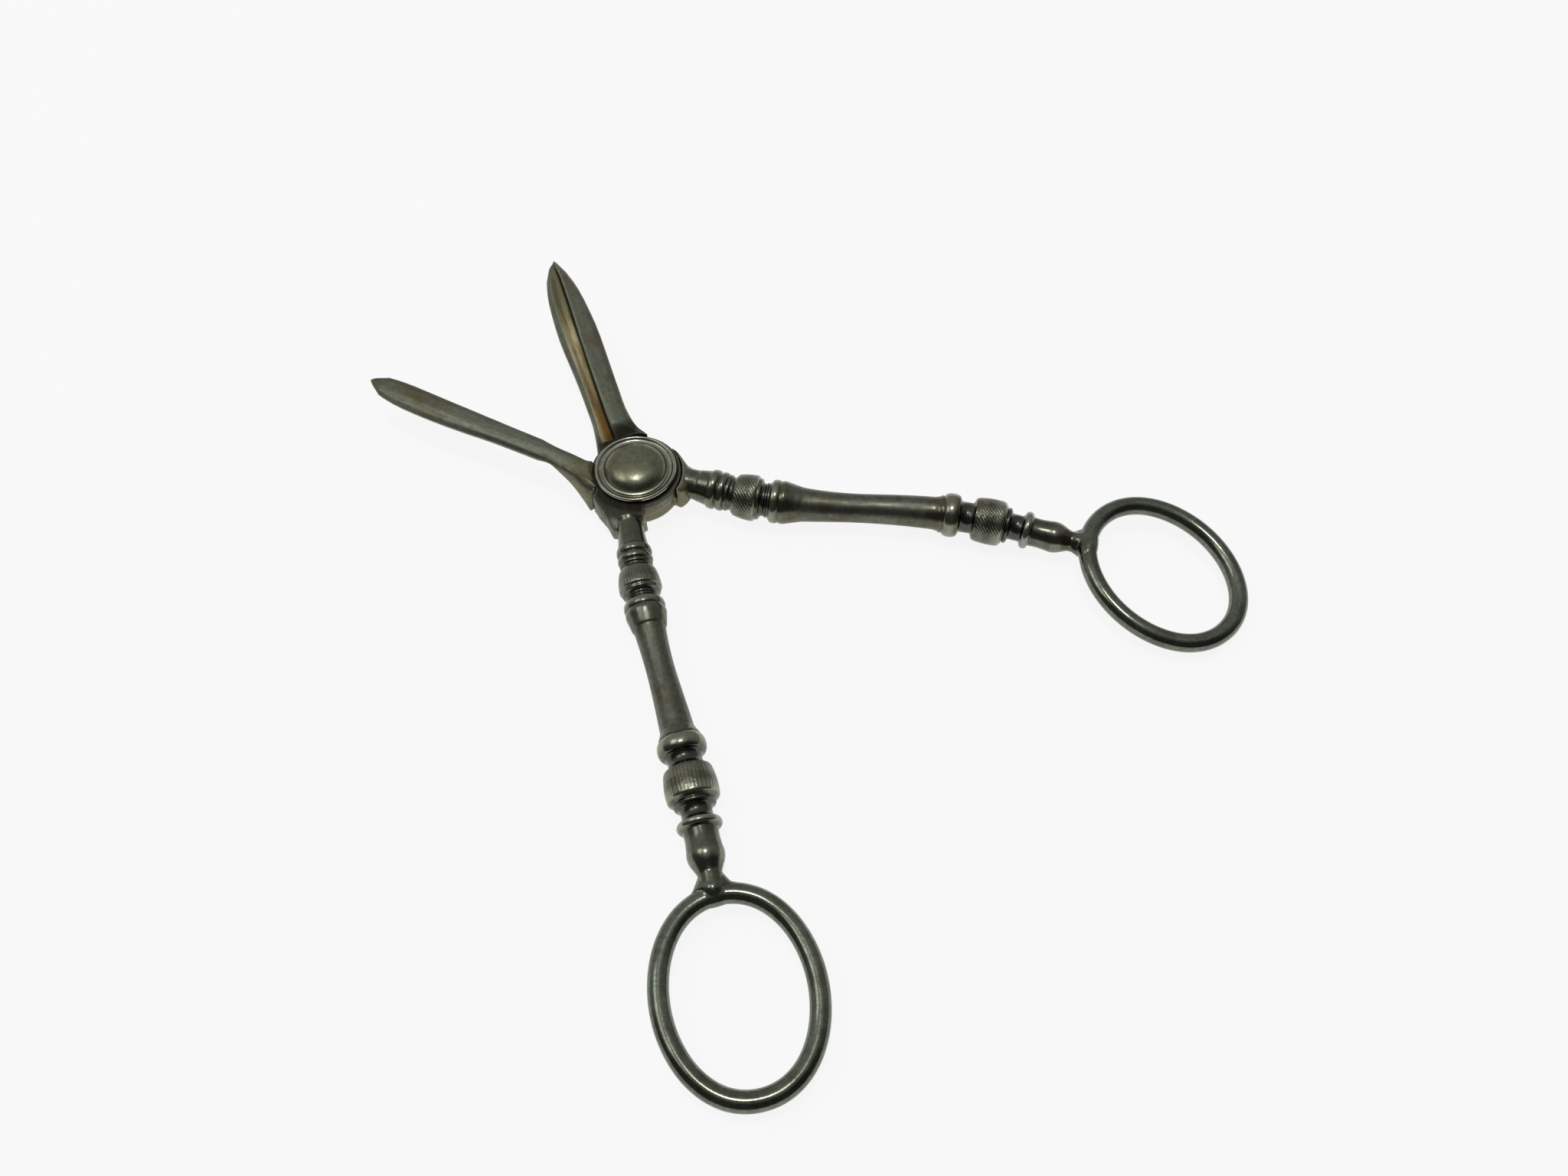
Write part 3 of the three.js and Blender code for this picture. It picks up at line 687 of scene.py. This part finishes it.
def add_blade(name, node, bearing, bluntness, smoothing, *fills):
    """Blade as filed from the forging: the solid's skin made fine and joined to the metal left by
    the smith, its edges broken by the file, its root left round by the hammer and its tip worn."""
    blocks = [add_fill(corners, turn) for corners, turn in fills]
    choose(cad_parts[node])
    bpy.ops.object.duplicate()
    blade = bpy.context.object
    blade.parent = None
    blade.modifiers.clear()
    bpy.ops.object.mode_set(mode="EDIT")
    bpy.ops.mesh.select_all(action="SELECT")
    bpy.ops.mesh.remove_doubles(threshold=SKIN_WELD * MM)
    bpy.ops.object.mode_set(mode="OBJECT")
    settle(blade, name)
    blade.data.materials.clear()
    for block in blocks:
        block.select_set(True)
    bpy.ops.object.join()
    modify(blade, "REMESH", mode="VOXEL", voxel_size=BLADE_VOXEL * MM)
    root = blade.vertex_groups.new(name="root")
    unturn = Matrix.Rotation(-bearing, 3, "Z")
    for vertex in blade.data.vertices:
        x, y, z = unturn @ vertex.co / MM
        if x > TIP_START:
            shorter = bluntness * (x - TIP_START) ** 2
            vertex.co -= unturn.inverted() @ Vector((shorter * MM, 0, 0))
        reach = math.hypot(x, y)
        inward = -(vertex.normal.x * vertex.co.x + vertex.normal.y * vertex.co.y) / (reach * MM + MM)
        share = min(
            reach - ROOT_START, (ROOT_END - reach) / ROOT_FADE, (z - ROOT_FLOOR) / FLOOR_FADE,
            (WALL_LIMIT - inward) / WALL_FADE, 1,
        )
        share = max(share, TIP_ROUNDING * min((x - TIP_START) / TIP_FADE, 1))
        if share > 0:
            root.add([vertex.index], share, "REPLACE")
    modify(blade, "SMOOTH", factor=0.5, iterations=smoothing, vertex_group="root")
    modify(blade, "SMOOTH", factor=0.5, iterations=BLADE_SMOOTHING)
    choose(blade)
    bpy.ops.object.shade_smooth()
    return blade


def mark_wear(piece, blur, rolled=None):
    """Colour attribute that is dark in the hollows and light on the edges, which the finish uses for
    worn plate and for painted highlight, and even on a root rolled smooth along a bearing."""
    choose(piece)
    bpy.ops.geometry.color_attribute_add(
        name="wear", domain="CORNER", data_type="FLOAT_COLOR", color=(1, 1, 1, 1),
    )
    bpy.ops.paint.vertex_color_dirt(
        blur_strength=1, blur_iterations=blur, clean_angle=CLEAN_ANGLE, dirt_angle=DIRT_ANGLE,
        dirt_only=False, normalize=False,
    )
    if rolled is None:
        return
    start, end = ROLLED_ROOT
    unturn = Matrix.Rotation(-rolled, 3, "Z")
    layer = piece.data.color_attributes["wear"]
    for loop in piece.data.loops:
        place = unturn @ piece.data.vertices[loop.vertex_index].co / MM
        if start < place.x < end:
            layer.data[loop.index].color = EVEN_WEAR


def mark_even(piece):
    """Same attribute, even all over, for a piece that the cloth reaches everywhere."""
    choose(piece)
    bpy.ops.geometry.color_attribute_add(
        name="wear", domain="CORNER", data_type="FLOAT_COLOR", color=EVEN_WEAR,
    )


def mark_ledge(blade):
    """Attribute across the stepped blade: 0 at the foot of the step, 1 at the outer edge, and -1
    elsewhere."""
    layer = blade.data.attributes.new(name="ledge", type="FLOAT", domain="POINT")
    unturn = Matrix.Rotation(-FLUTED_BEARING, 3, "Z")
    for vertex in blade.data.vertices:
        x, y, z = unturn @ vertex.co / MM
        step = interpolate(STEP_EDGE, x)
        left = interpolate(LEFT_EDGE, x)
        on_ledge = x > LEDGE_START and y > step - STEP_SLACK and z > LEDGE_HEIGHT - LEDGE_HOLLOW
        across = (y - step) / max(left - step, LEDGE_LEAST)
        layer.data[vertex.index].value = across if on_ledge else -1


def add_dome(name):
    """Domed head of the pivot screw, on a thin flange."""
    low = DOME_SEAT
    foot = low + DOME_FOOT
    crease, spread = DOME_CREASE
    outline = [(low, 0)]
    outline += [(low + rise, DOME_RADIUS + change) for rise, change in DOME_FLANGE]
    outline += [(low + crease, DOME_SHOULDER + spread)]
    for i in range(DOME_STEPS + 1):
        t = i / DOME_STEPS
        radius = DOME_SHOULDER * (1 - t) ** 2 + 2 * DOME_FULLNESS * DOME_SHOULDER * t * (1 - t)
        outline.append((foot * (1 - t) ** 2 + DOME_TOP * (2 * t - t ** 2), radius))
    dome = turned(name, outline, Vector((0, 0, 1)), TURNED_SIDES)
    bpy.ops.object.shade_smooth_by_angle(angle=SHARP_ANGLE)
    return dome


def add_washer(name):
    """Cup washer: a rounded rim that stands up round the dome, with a cove inside it."""
    low, top = WASHER_BOTTOM, WASHER_TOP
    tall, wide = WASHER_LIP
    first, sweep = LIP_ANGLES
    outline = [(low, BORE_RADIUS), (low, WASHER_RADIUS - WASHER_CORNER)]
    for i in range(LIP_STEPS + 1):
        angle = math.radians(first + sweep * i / LIP_STEPS)
        outline.append((
            top - tall + tall * math.sin(angle), WASHER_RADIUS - wide + wide * math.cos(angle),
        ))
    drop, inset = COVE_SLOPE
    cove = [(top - fall, DOME_RADIUS + change) for fall, change in COVE_FLOOR]
    outline += curve_through([outline[-1], (top - drop, WASHER_RADIUS - inset), *cove], 5)
    outline += [(cove[-1][0], BORE_RADIUS), (low, BORE_RADIUS)]
    washer = turned(name, outline, Vector((0, 0, 1)), TURNED_SIDES)
    bpy.ops.object.shade_smooth_by_angle(angle=RIM_SHARP_ANGLE)
    return washer


def add_nut(name):
    """Flat round nut under the hub, its edges broken and a shallow recess turned in it."""
    nut = begin(
        bpy.ops.mesh.primitive_cylinder_add, vertices=NUT_SIDES, radius=NUT_RADIUS * MM,
        depth=NUT_TOP * MM, location=(0, 0, NUT_TOP / 2 * MM),
    )
    bpy.ops.object.mode_set(mode="EDIT")
    bpy.ops.mesh.select_all(action="DESELECT")
    skin = bmesh.from_edit_mesh(nut.data)
    for face in skin.faces:
        face.select_set(face.normal.z < -0.9)
    bmesh.update_edit_mesh(nut.data)
    slope, depth = NUT_RECESS
    bpy.ops.mesh.inset(thickness=NUT_LAND * MM, depth=0)
    bpy.ops.mesh.inset(thickness=slope * MM, depth=-depth * MM)
    bpy.ops.object.mode_set(mode="OBJECT")
    settle(nut, name)
    modify(nut, "BEVEL", width=NUT_EDGE * MM, segments=3, limit_method="ANGLE")
    choose(nut)
    bpy.ops.object.shade_smooth_by_angle(angle=SHARP_ANGLE)
    return nut


def plate_finish(name, finish, bearing=0, stretch=(1, 1, 1), on_stem=False, pivot_shade=0, stain=0):
    """Silver plate on nickel silver, long tarnished: satin grey-green metal with soft brown blotches,
    dark where the polishing cloth can't reach, lighter on worn edges and with painted highlight there,
    duller on a rubbed shaft, with painted shade and stain round the pivot and fine polishing lines
    along the piece."""
    metal, tarnish, brown, roughness, grain = finish
    material = bpy.data.materials.new(name)
    material.use_nodes = True
    tree = material.node_tree
    shader = tree.nodes["Principled BSDF"]
    shader.inputs["Metallic"].default_value = 1
    place = add_node(tree, "ShaderNodeTexCoord", {}).outputs["Object"]
    around = add_node(tree, "ShaderNodeUVMap", {}, uv_map="turned").outputs["UV"]
    lines = add_node(tree, "ShaderNodeMapping", {
        "Vector": around if on_stem else place, "Rotation": (0, 0, bearing), "Scale": stretch,
    }, vector_type="TEXTURE")
    blotch = add_node(tree, "ShaderNodeTexNoise", {
        "Vector": place, "Scale": size(BLOTCH_SIZE), "Detail": 5, "Roughness": 0.6,
    })
    speck = add_node(tree, "ShaderNodeTexNoise", {
        "Vector": place, "Scale": size(SPECK_SIZE), "Detail": 4, "Roughness": 0.65,
    })
    brushed = add_node(tree, "ShaderNodeTexNoise", {
        "Vector": lines.outputs["Vector"], "Scale": size(LINE_SIZE), "Detail": 3, "Roughness": 0.6,
    })
    wear = add_node(tree, "ShaderNodeAttribute", {}, attribute_name="wear")
    rubbed = add_node(tree, "ShaderNodeAttribute", {}, attribute_name="rubbed").outputs["Fac"]
    brown_share = add_node(tree, "ShaderNodeMapRange", {
        "Value": blotch.outputs["Fac"], "From Min": 0.48, "From Max": 0.7, "To Max": 0.9,
    })
    tinted = add_node(tree, "ShaderNodeMix", {
        0: brown_share.outputs["Result"], 6: linear(metal), 7: linear(brown),
    }, data_type="RGBA")
    dull_share = add_node(tree, "ShaderNodeMapRange", {
        "Value": speck.outputs["Fac"], "From Min": 0.35, "From Max": 0.7, "To Max": 0.6,
    })
    dulled = add_node(tree, "ShaderNodeMix", {
        0: dull_share.outputs["Result"], 6: tinted.outputs[2], 7: linear(tarnish),
    }, data_type="RGBA")
    streak_share = add_node(tree, "ShaderNodeMapRange", {
        "Value": brushed.outputs["Fac"], "From Min": 0.4, "From Max": 0.7, "To Max": 0.35,
    })
    streaked = add_node(tree, "ShaderNodeMix", {
        0: streak_share.outputs["Result"], 6: dulled.outputs[2], 7: linear(tarnish),
    }, data_type="RGBA")
    hollow_share = add_node(tree, "ShaderNodeMapRange", {
        "Value": wear.outputs["Fac"], "From Min": 0.46, "From Max": 0.15, "To Max": 0.7,
    })
    hollowed = add_node(tree, "ShaderNodeMix", {
        0: hollow_share.outputs["Result"], 6: streaked.outputs[2], 7: linear(HOLLOW_COLOUR),
    }, data_type="RGBA")
    from_axis = add_node(tree, "ShaderNodeMapping", {"Vector": place, "Scale": (1, 1, 0)})
    radius = add_node(tree, "ShaderNodeVectorMath", {
        0: from_axis.outputs["Vector"],
    }, operation="LENGTH").outputs["Value"]
    # Painted shade: a dark ring on the hub's top round the pivot, beside the washer, also made a little
    # rougher
    near_axis = add_node(tree, "ShaderNodeMapRange", {
        "Value": radius, "From Min": SHADE_REACH[0] * MM, "From Max": SHADE_REACH[1] * MM,
        "To Max": pivot_shade,
    }, interpolation_type="SMOOTHSTEP")
    by_root = add_node(tree, "ShaderNodeMapRange", {
        "Value": radius, "From Min": STAIN_REACH[0] * MM, "From Max": STAIN_REACH[1] * MM,
        "To Max": stain,
    }, interpolation_type="SMOOTHSTEP")
    height = add_node(tree, "ShaderNodeSeparateXYZ", {"Vector": place}).outputs["Z"]
    on_top = add_node(tree, "ShaderNodeMapRange", {
        "Value": height, "From Min": SHADE_HEIGHT[0] * MM, "From Max": SHADE_HEIGHT[1] * MM,
    })
    pivot_shade_share = add_node(tree, "ShaderNodeMath", {
        0: near_axis.outputs["Result"], 1: on_top.outputs["Result"],
    }, operation="MULTIPLY")
    stain_share = add_node(tree, "ShaderNodeMath", {
        0: by_root.outputs["Result"], 1: blotch.outputs["Fac"],
    }, operation="MULTIPLY")
    khaki = add_node(tree, "ShaderNodeMix", {
        0: stain_share.outputs[0], 6: hollowed.outputs[2], 7: linear(STAIN_COLOUR),
    }, data_type="RGBA")
    pivot_shaded = add_node(tree, "ShaderNodeMix", {
        0: pivot_shade_share.outputs[0], 6: khaki.outputs[2], 7: linear(PIVOT_SHADE_COLOUR),
    }, data_type="RGBA")
    # Lighter edges: worn plate, and also painted highlight along edges and lips
    edge_wear_sheen_share = add_node(tree, "ShaderNodeMapRange", {
        "Value": wear.outputs["Fac"], "From Min": 0.54, "From Max": 0.8, "To Max": 0.75,
    })
    edge_worn_and_lit = add_node(tree, "ShaderNodeMix", {
        0: edge_wear_sheen_share.outputs["Result"], 6: pivot_shaded.outputs[2], 7: linear(EDGE_WEAR_AND_SHEEN_COLOUR),
    }, data_type="RGBA")
    tree.links.new(edge_worn_and_lit.outputs[2], shader.inputs["Base Color"])
    rough = add_node(tree, "ShaderNodeMapRange", {
        "Value": brushed.outputs["Fac"], "From Min": 0.3, "From Max": 0.7,
        "To Min": roughness - 0.06, "To Max": roughness + 0.08,
    })
    duller = add_node(tree, "ShaderNodeMath", {
        0: rubbed, 1: RUBBED_ROUGHNESS, 2: rough.outputs["Result"],
    }, operation="MULTIPLY_ADD")
    dullest = add_node(tree, "ShaderNodeMath", {
        0: pivot_shade_share.outputs[0], 1: SHADE_RING_ROUGHNESS, 2: duller.outputs[0],
    }, operation="MULTIPLY_ADD")
    tree.links.new(dullest.outputs[0], shader.inputs["Roughness"])
    relief = add_node(tree, "ShaderNodeBump", {
        "Height": brushed.outputs["Fac"], "Strength": 1, "Distance": grain * MM,
    })
    tree.links.new(relief.outputs["Normal"], shader.inputs["Normal"])
    return material, edge_worn_and_lit, relief


def knurled_finish(name, finish, lean, depth):
    """Collar of the same plate, rouletted: fine lines that catch the light one by one, on uneven
    ground that makes it sparkle. The lines are drawn nearly twice as wide as the real ones, so that
    they show."""
    material, colour, relief = plate_finish(name, finish, stretch=(1, LINE_STRETCH, 1), on_stem=True)
    tree = material.node_tree
    around = add_node(tree, "ShaderNodeUVMap", {}, uv_map="turned")
    slant = add_node(tree, "ShaderNodeMapping", {
        "Vector": around.outputs["UV"], "Rotation": (0, 0, lean),
    }, vector_type="TEXTURE")
    hatch = add_node(tree, "ShaderNodeTexWave", {
        "Vector": slant.outputs["Vector"], "Scale": WAVE_PERIOD * size(ROULETTE_PITCH),
        "Distortion": 2, "Detail": 2, "Detail Scale": 1.5,
    }, bands_direction="X")
    share = add_node(tree, "ShaderNodeMapRange", {
        "Value": hatch.outputs["Fac"], "From Min": 0.55, "From Max": 0,
        "To Max": ROULETTE_CONTRAST * depth,
    })
    lined = add_node(tree, "ShaderNodeMix", {
        0: share.outputs["Result"], 6: colour.outputs[2], 7: linear(ROULETTE_COLOUR),
    }, data_type="RGBA")
    shader = tree.nodes["Principled BSDF"]
    tree.links.new(lined.outputs[2], shader.inputs["Base Color"])
    chatter = add_node(tree, "ShaderNodeTexNoise", {
        "Vector": slant.outputs["Vector"], "Scale": size(CHATTER_SIZE), "Detail": 3,
    })
    rough_ground = add_node(tree, "ShaderNodeBump", {
        "Height": chatter.outputs["Fac"], "Strength": 1, "Distance": CHATTER_DEPTH * depth * MM,
        "Normal": relief.outputs["Normal"],
    })
    cut = add_node(tree, "ShaderNodeBump", {
        "Height": hatch.outputs["Fac"], "Strength": 1, "Distance": depth * MM,
        "Normal": rough_ground.outputs["Normal"],
    })
    tree.links.new(cut.outputs["Normal"], shader.inputs["Normal"])
    return material


def stained_finish(name, finish, bearing):
    """The same plate on the stepped blade, where juice has stained the hollow ledge a golden khaki in
    streaks along the blade, orange-brown by the step near the pivot, duller towards the tip, with
    painted black shade in the crease at the foot of the step."""
    # The hub's top round the washer gets the painted shade
    material, colour, _ = plate_finish(
        name, finish, bearing, (LINE_STRETCH, 1, 1), pivot_shade=HUB_SHADE,
    )
    tree = material.node_tree
    place = add_node(tree, "ShaderNodeTexCoord", {}).outputs["Object"]
    blade = add_node(tree, "ShaderNodeMapping", {
        "Vector": place, "Rotation": (0, 0, bearing),
    }, vector_type="TEXTURE")
    lines = add_node(tree, "ShaderNodeMapping", {
        "Vector": place, "Rotation": (0, 0, bearing), "Scale": (CHANNEL_STRETCH, 1, 1),
    }, vector_type="TEXTURE")
    streaks = add_node(tree, "ShaderNodeTexNoise", {
        "Vector": lines.outputs["Vector"], "Scale": size(CHANNEL_STREAK), "Detail": 5,
        "Roughness": 0.65,
    })
    along = add_node(tree, "ShaderNodeSeparateXYZ", {"Vector": blade.outputs["Vector"]}).outputs["X"]
    ledge = add_node(tree, "ShaderNodeAttribute", {}, attribute_name="ledge").outputs["Fac"]
    light = add_node(tree, "ShaderNodeMapRange", {
        "Value": streaks.outputs["Fac"], "From Min": 0.35, "From Max": 0.65,
    })
    khaki = add_node(tree, "ShaderNodeMix", {
        0: light.outputs["Result"], 6: linear(CHANNEL_KHAKI), 7: linear(CHANNEL_PALE),
    }, data_type="RGBA")
    to_tip = add_node(tree, "ShaderNodeMapRange", {
        "Value": along, "From Min": DULL_STRETCH[0] * MM, "From Max": DULL_STRETCH[1] * MM,
        "To Max": 0.85,
    }, interpolation_type="SMOOTHSTEP")
    duller = add_node(tree, "ShaderNodeMix", {
        0: to_tip.outputs["Result"], 6: khaki.outputs[2], 7: linear(CHANNEL_DULL),
    }, data_type="RGBA")
    to_hub = add_node(tree, "ShaderNodeMapRange", {
        "Value": along, "From Min": BROWN_STRETCH[0] * MM, "From Max": BROWN_STRETCH[1] * MM,
        "To Max": 0.95,
    }, interpolation_type="SMOOTHSTEP")
    by_step = add_node(tree, "ShaderNodeMapRange", {
        "Value": ledge, "From Min": 0.85, "From Max": 0.3,
    })
    burnt_share = add_node(tree, "ShaderNodeMath", {
        0: to_hub.outputs["Result"], 1: by_step.outputs["Result"],
    }, operation="MULTIPLY")
    burnt = add_node(tree, "ShaderNodeMix", {
        0: burnt_share.outputs[0], 6: duller.outputs[2], 7: linear(CHANNEL_BROWN),
    }, data_type="RGBA")
    floor = add_node(tree, "ShaderNodeMapRange", {
        "Value": ledge, "From Min": 0.74, "From Max": 0.64,
    })
    above = add_node(tree, "ShaderNodeMath", {0: ledge, 1: -0.2}, operation="GREATER_THAN")
    share = add_node(tree, "ShaderNodeMath", {
        0: floor.outputs["Result"], 1: above.outputs[0],
    }, operation="MULTIPLY")
    stained = add_node(tree, "ShaderNodeMix", {
        0: share.outputs[0], 6: colour.outputs[2], 7: burnt.outputs[2],
    }, data_type="RGBA")
    # Painted shade: a black line in the crease at the foot of the step
    foot = add_node(tree, "ShaderNodeMapRange", {
        "Value": ledge, "From Min": 0.16, "From Max": 0.04, "To Max": 0.92,
    })
    foot_shade_share = add_node(tree, "ShaderNodeMath", {
        0: foot.outputs["Result"], 1: above.outputs[0],
    }, operation="MULTIPLY")
    foot_shaded = add_node(tree, "ShaderNodeMix", {
        0: foot_shade_share.outputs[0], 6: stained.outputs[2], 7: linear(STEP_FOOT_SHADE_COLOUR),
    }, data_type="RGBA")
    tree.links.new(foot_shaded.outputs[2], tree.nodes["Principled BSDF"].inputs["Base Color"])
    return material


def dress(piece, body, slot, node, *materials):
    """Gives a piece its finish and its body, and hides the solid it stands for."""
    for material in materials:
        piece.data.materials.append(material)
    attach(piece, body)
    if node:
        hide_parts(node)


def add_camera():
    """Camera that sees the object as the photograph does."""
    bpy.ops.object.select_all(action="DESELECT")
    bpy.ops.object.camera_add(location=Vector(CAMERA_PLACE) * MM)
    camera = bpy.context.object
    camera.rotation_mode = "ZYX"
    camera.rotation_euler = (CAMERA_TILT, 0, CAMERA_ROLL)
    camera.data.sensor_fit = "HORIZONTAL"
    camera.data.sensor_width = CAMERA_SENSOR
    camera.data.lens = CAMERA_LENS
    camera.data.clip_start = 0.01
    bpy.context.scene.camera = camera


def add_lamp(name, place, width, power):
    """Soft box over the table."""
    place = Vector(place) * MM
    direction = Vector(LAMP_AIM) * MM - place
    bpy.ops.object.light_add(type="AREA", location=place)
    lamp = bpy.context.object
    lamp.name = name
    lamp.rotation_euler = direction.to_track_quat("-Z", "Y").to_euler()
    lamp.data.size = width * MM
    lamp.data.energy = power


def add_room():
    """Room light: pale overhead and behind the table, dim in front where the viewer stands, dimmer
    on the right."""
    world = bpy.data.worlds.new("studio")
    bpy.context.scene.world = world
    world.use_nodes = True
    tree = world.node_tree
    background = tree.nodes["Background"]
    direction = add_node(tree, "ShaderNodeTexCoord", {}).outputs["Generated"]
    parts = add_node(tree, "ShaderNodeSeparateXYZ", {"Vector": direction})
    back = add_node(tree, "ShaderNodeMapRange", {
        "Value": parts.outputs["Y"], "From Min": -0.3, "From Max": 0.4,
        "To Min": 0.08, "To Max": 0.44,
    }, interpolation_type="SMOOTHSTEP")
    side = add_node(tree, "ShaderNodeMapRange", {
        "Value": parts.outputs["X"], "From Min": -0.8, "From Max": 0.8,
        "To Min": 1.2, "To Max": 0.75,
    })
    overhead = add_node(tree, "ShaderNodeMapRange", {
        "Value": parts.outputs["Z"], "From Min": 0.8, "From Max": 0.97, "To Max": 0.25,
    }, interpolation_type="SMOOTHSTEP")
    room = add_node(tree, "ShaderNodeMath", {
        0: back.outputs["Result"], 1: side.outputs["Result"], 2: overhead.outputs["Result"],
    }, operation="MULTIPLY_ADD")
    path = add_node(tree, "ShaderNodeLightPath", {})
    seen = add_node(tree, "ShaderNodeMix", {
        0: path.outputs["Is Camera Ray"], 2: room.outputs[0], 3: 1.0,
    })
    tree.links.new(seen.outputs[0], background.inputs["Strength"])
    background.inputs["Color"].default_value = linear("#ffffff")


def add_floor():
    """White table top that keeps the soft shadows."""
    floor = begin(bpy.ops.mesh.primitive_plane_add, size=TABLE_SIZE * MM, location=(0, 0, 0))
    floor.name = "table_top"
    material = bpy.data.materials.new("white_card")
    material.use_nodes = True
    tree = material.node_tree
    tree.nodes.remove(tree.nodes["Principled BSDF"])
    card = add_node(tree, "ShaderNodeBsdfDiffuse", {"Color": linear("#fafafa")})
    white = add_node(tree, "ShaderNodeEmission", {"Color": linear("#ffffff"), "Strength": 1})
    path = add_node(tree, "ShaderNodeLightPath", {})
    either = add_node(tree, "ShaderNodeMath", {
        0: path.outputs["Is Camera Ray"], 1: path.outputs["Is Glossy Ray"],
    }, operation="MAXIMUM")
    share = add_node(tree, "ShaderNodeMath", {
        0: either.outputs[0], 1: TABLE_WHITE,
    }, operation="MULTIPLY")
    mixed = add_node(tree, "ShaderNodeMixShader", {
        0: share.outputs[0], 1: card.outputs["BSDF"], 2: white.outputs["Emission"],
    })
    tree.links.new(mixed.outputs[0], tree.nodes["Material Output"].inputs["Surface"])
    floor.data.materials.append(material)


bpy.context.scene.view_settings.view_transform = "Standard"
add_camera()
add_room()
add_floor()
add_lamp("ceiling_lamp", *CEILING_LAMP)
add_lamp("window_lamp", *WINDOW_LAMP)

satin_plate = plate_finish(
    "satin_silver_plate", SATIN_FINISH, PLAIN_BEARING, (LINE_STRETCH, 1, 1), stain=ROOT_STAIN,
)[0]
stained_plate = stained_finish("stained_silver_plate", SATIN_FINISH, FLUTED_BEARING)
turned_plate = plate_finish(
    "turned_silver_plate", TURNED_FINISH, stretch=(1, LINE_STRETCH, 1), on_stem=True,
)[0]
slanting_roulette = knurled_finish("slant_rouletted_plate", ROULETTE_FINISH, *SLANT_ROULETTE)
straight_roulette = knurled_finish(
    "straight_rouletted_plate", ROULETTE_FINISH, *STRAIGHT_ROULETTE,
)
dark_wire = plate_finish("drawn_wire_plate", WIRE_FINISH)[0]
dome_plate = plate_finish("worn_dome_plate", DOME_FINISH)[0]
# The washer is a lighter copy of the plate, painted sheen so that its rim shows bright
rim_plate = plate_finish("bright_rim_plate", WASHER_SHEEN_FINISH)[0]

stepped_blade = add_blade(
    "stepped_blade", "fluted_blade", FLUTED_BEARING, STEPPED_BLUNTNESS, STEPPED_ROOT_SMOOTHING,
    (BOTTOM_SHOULDER, 0),
)
narrow_blade = add_blade(
    "narrow_blade", "plain_blade", PLAIN_BEARING, NARROW_BLUNTNESS, NARROW_ROOT_SMOOTHING,
    (RIGHT_SHOULDER, 0), (NARROW_WEB, PLAIN_BEARING), (WEB_SKIRT, PLAIN_BEARING),
)
mark_wear(stepped_blade, blur=BLADE_WEAR_BLUR)
mark_wear(narrow_blade, blur=BLADE_WEAR_BLUR, rolled=PLAIN_BEARING)
mark_ledge(stepped_blade)
dress(stepped_blade, "fluted_arm", "stained_plate", "fluted_blade", stained_plate)
dress(narrow_blade, "plain_arm", "satin_plate", "plain_blade", satin_plate)

bottom_stem = add_stem("bottom_stem", BOTTOM_HANDLE)
right_stem = add_stem("right_stem", RIGHT_HANDLE)
dress(
    bottom_stem, "fluted_arm", "tarnished_plate", "fluted_arm_stem", turned_plate, straight_roulette,
)
dress(
    right_stem, "plain_arm", "tarnished_plate", "plain_arm_stem", turned_plate, slanting_roulette,
)

bottom_ring = add_ring("bottom_ring", BOTTOM_HANDLE)
right_ring = add_ring("right_ring", RIGHT_HANDLE)
mark_even(bottom_ring)
mark_even(right_ring)
dress(bottom_ring, "fluted_arm", "dark_wire", "fluted_arm_ring", dark_wire)
dress(right_ring, "plain_arm", "dark_wire", "plain_arm_ring", dark_wire)

bottom_braze = add_braze("bottom_braze", BOTTOM_HANDLE)
right_braze = add_braze("right_braze", RIGHT_HANDLE)
mark_even(bottom_braze)
mark_even(right_braze)
dress(bottom_braze, "fluted_arm", "dark_wire", None, dark_wire)
dress(right_braze, "plain_arm", "dark_wire", None, dark_wire)

dome_head = add_dome("dome_head")
cup_washer = add_washer("cup_washer")
blind_nut = add_nut("blind_nut")
mark_wear(dome_head, blur=0)
mark_wear(cup_washer, blur=1)
mark_wear(blind_nut, blur=1)
dress(dome_head, "plain_arm", "screw_plate", "pivot_screw", dome_plate)
dress(cup_washer, "plain_arm", "bright_plate", "pivot_washer", rim_plate)
dress(blind_nut, "plain_arm", "screw_plate", "pivot_nut", dome_plate)
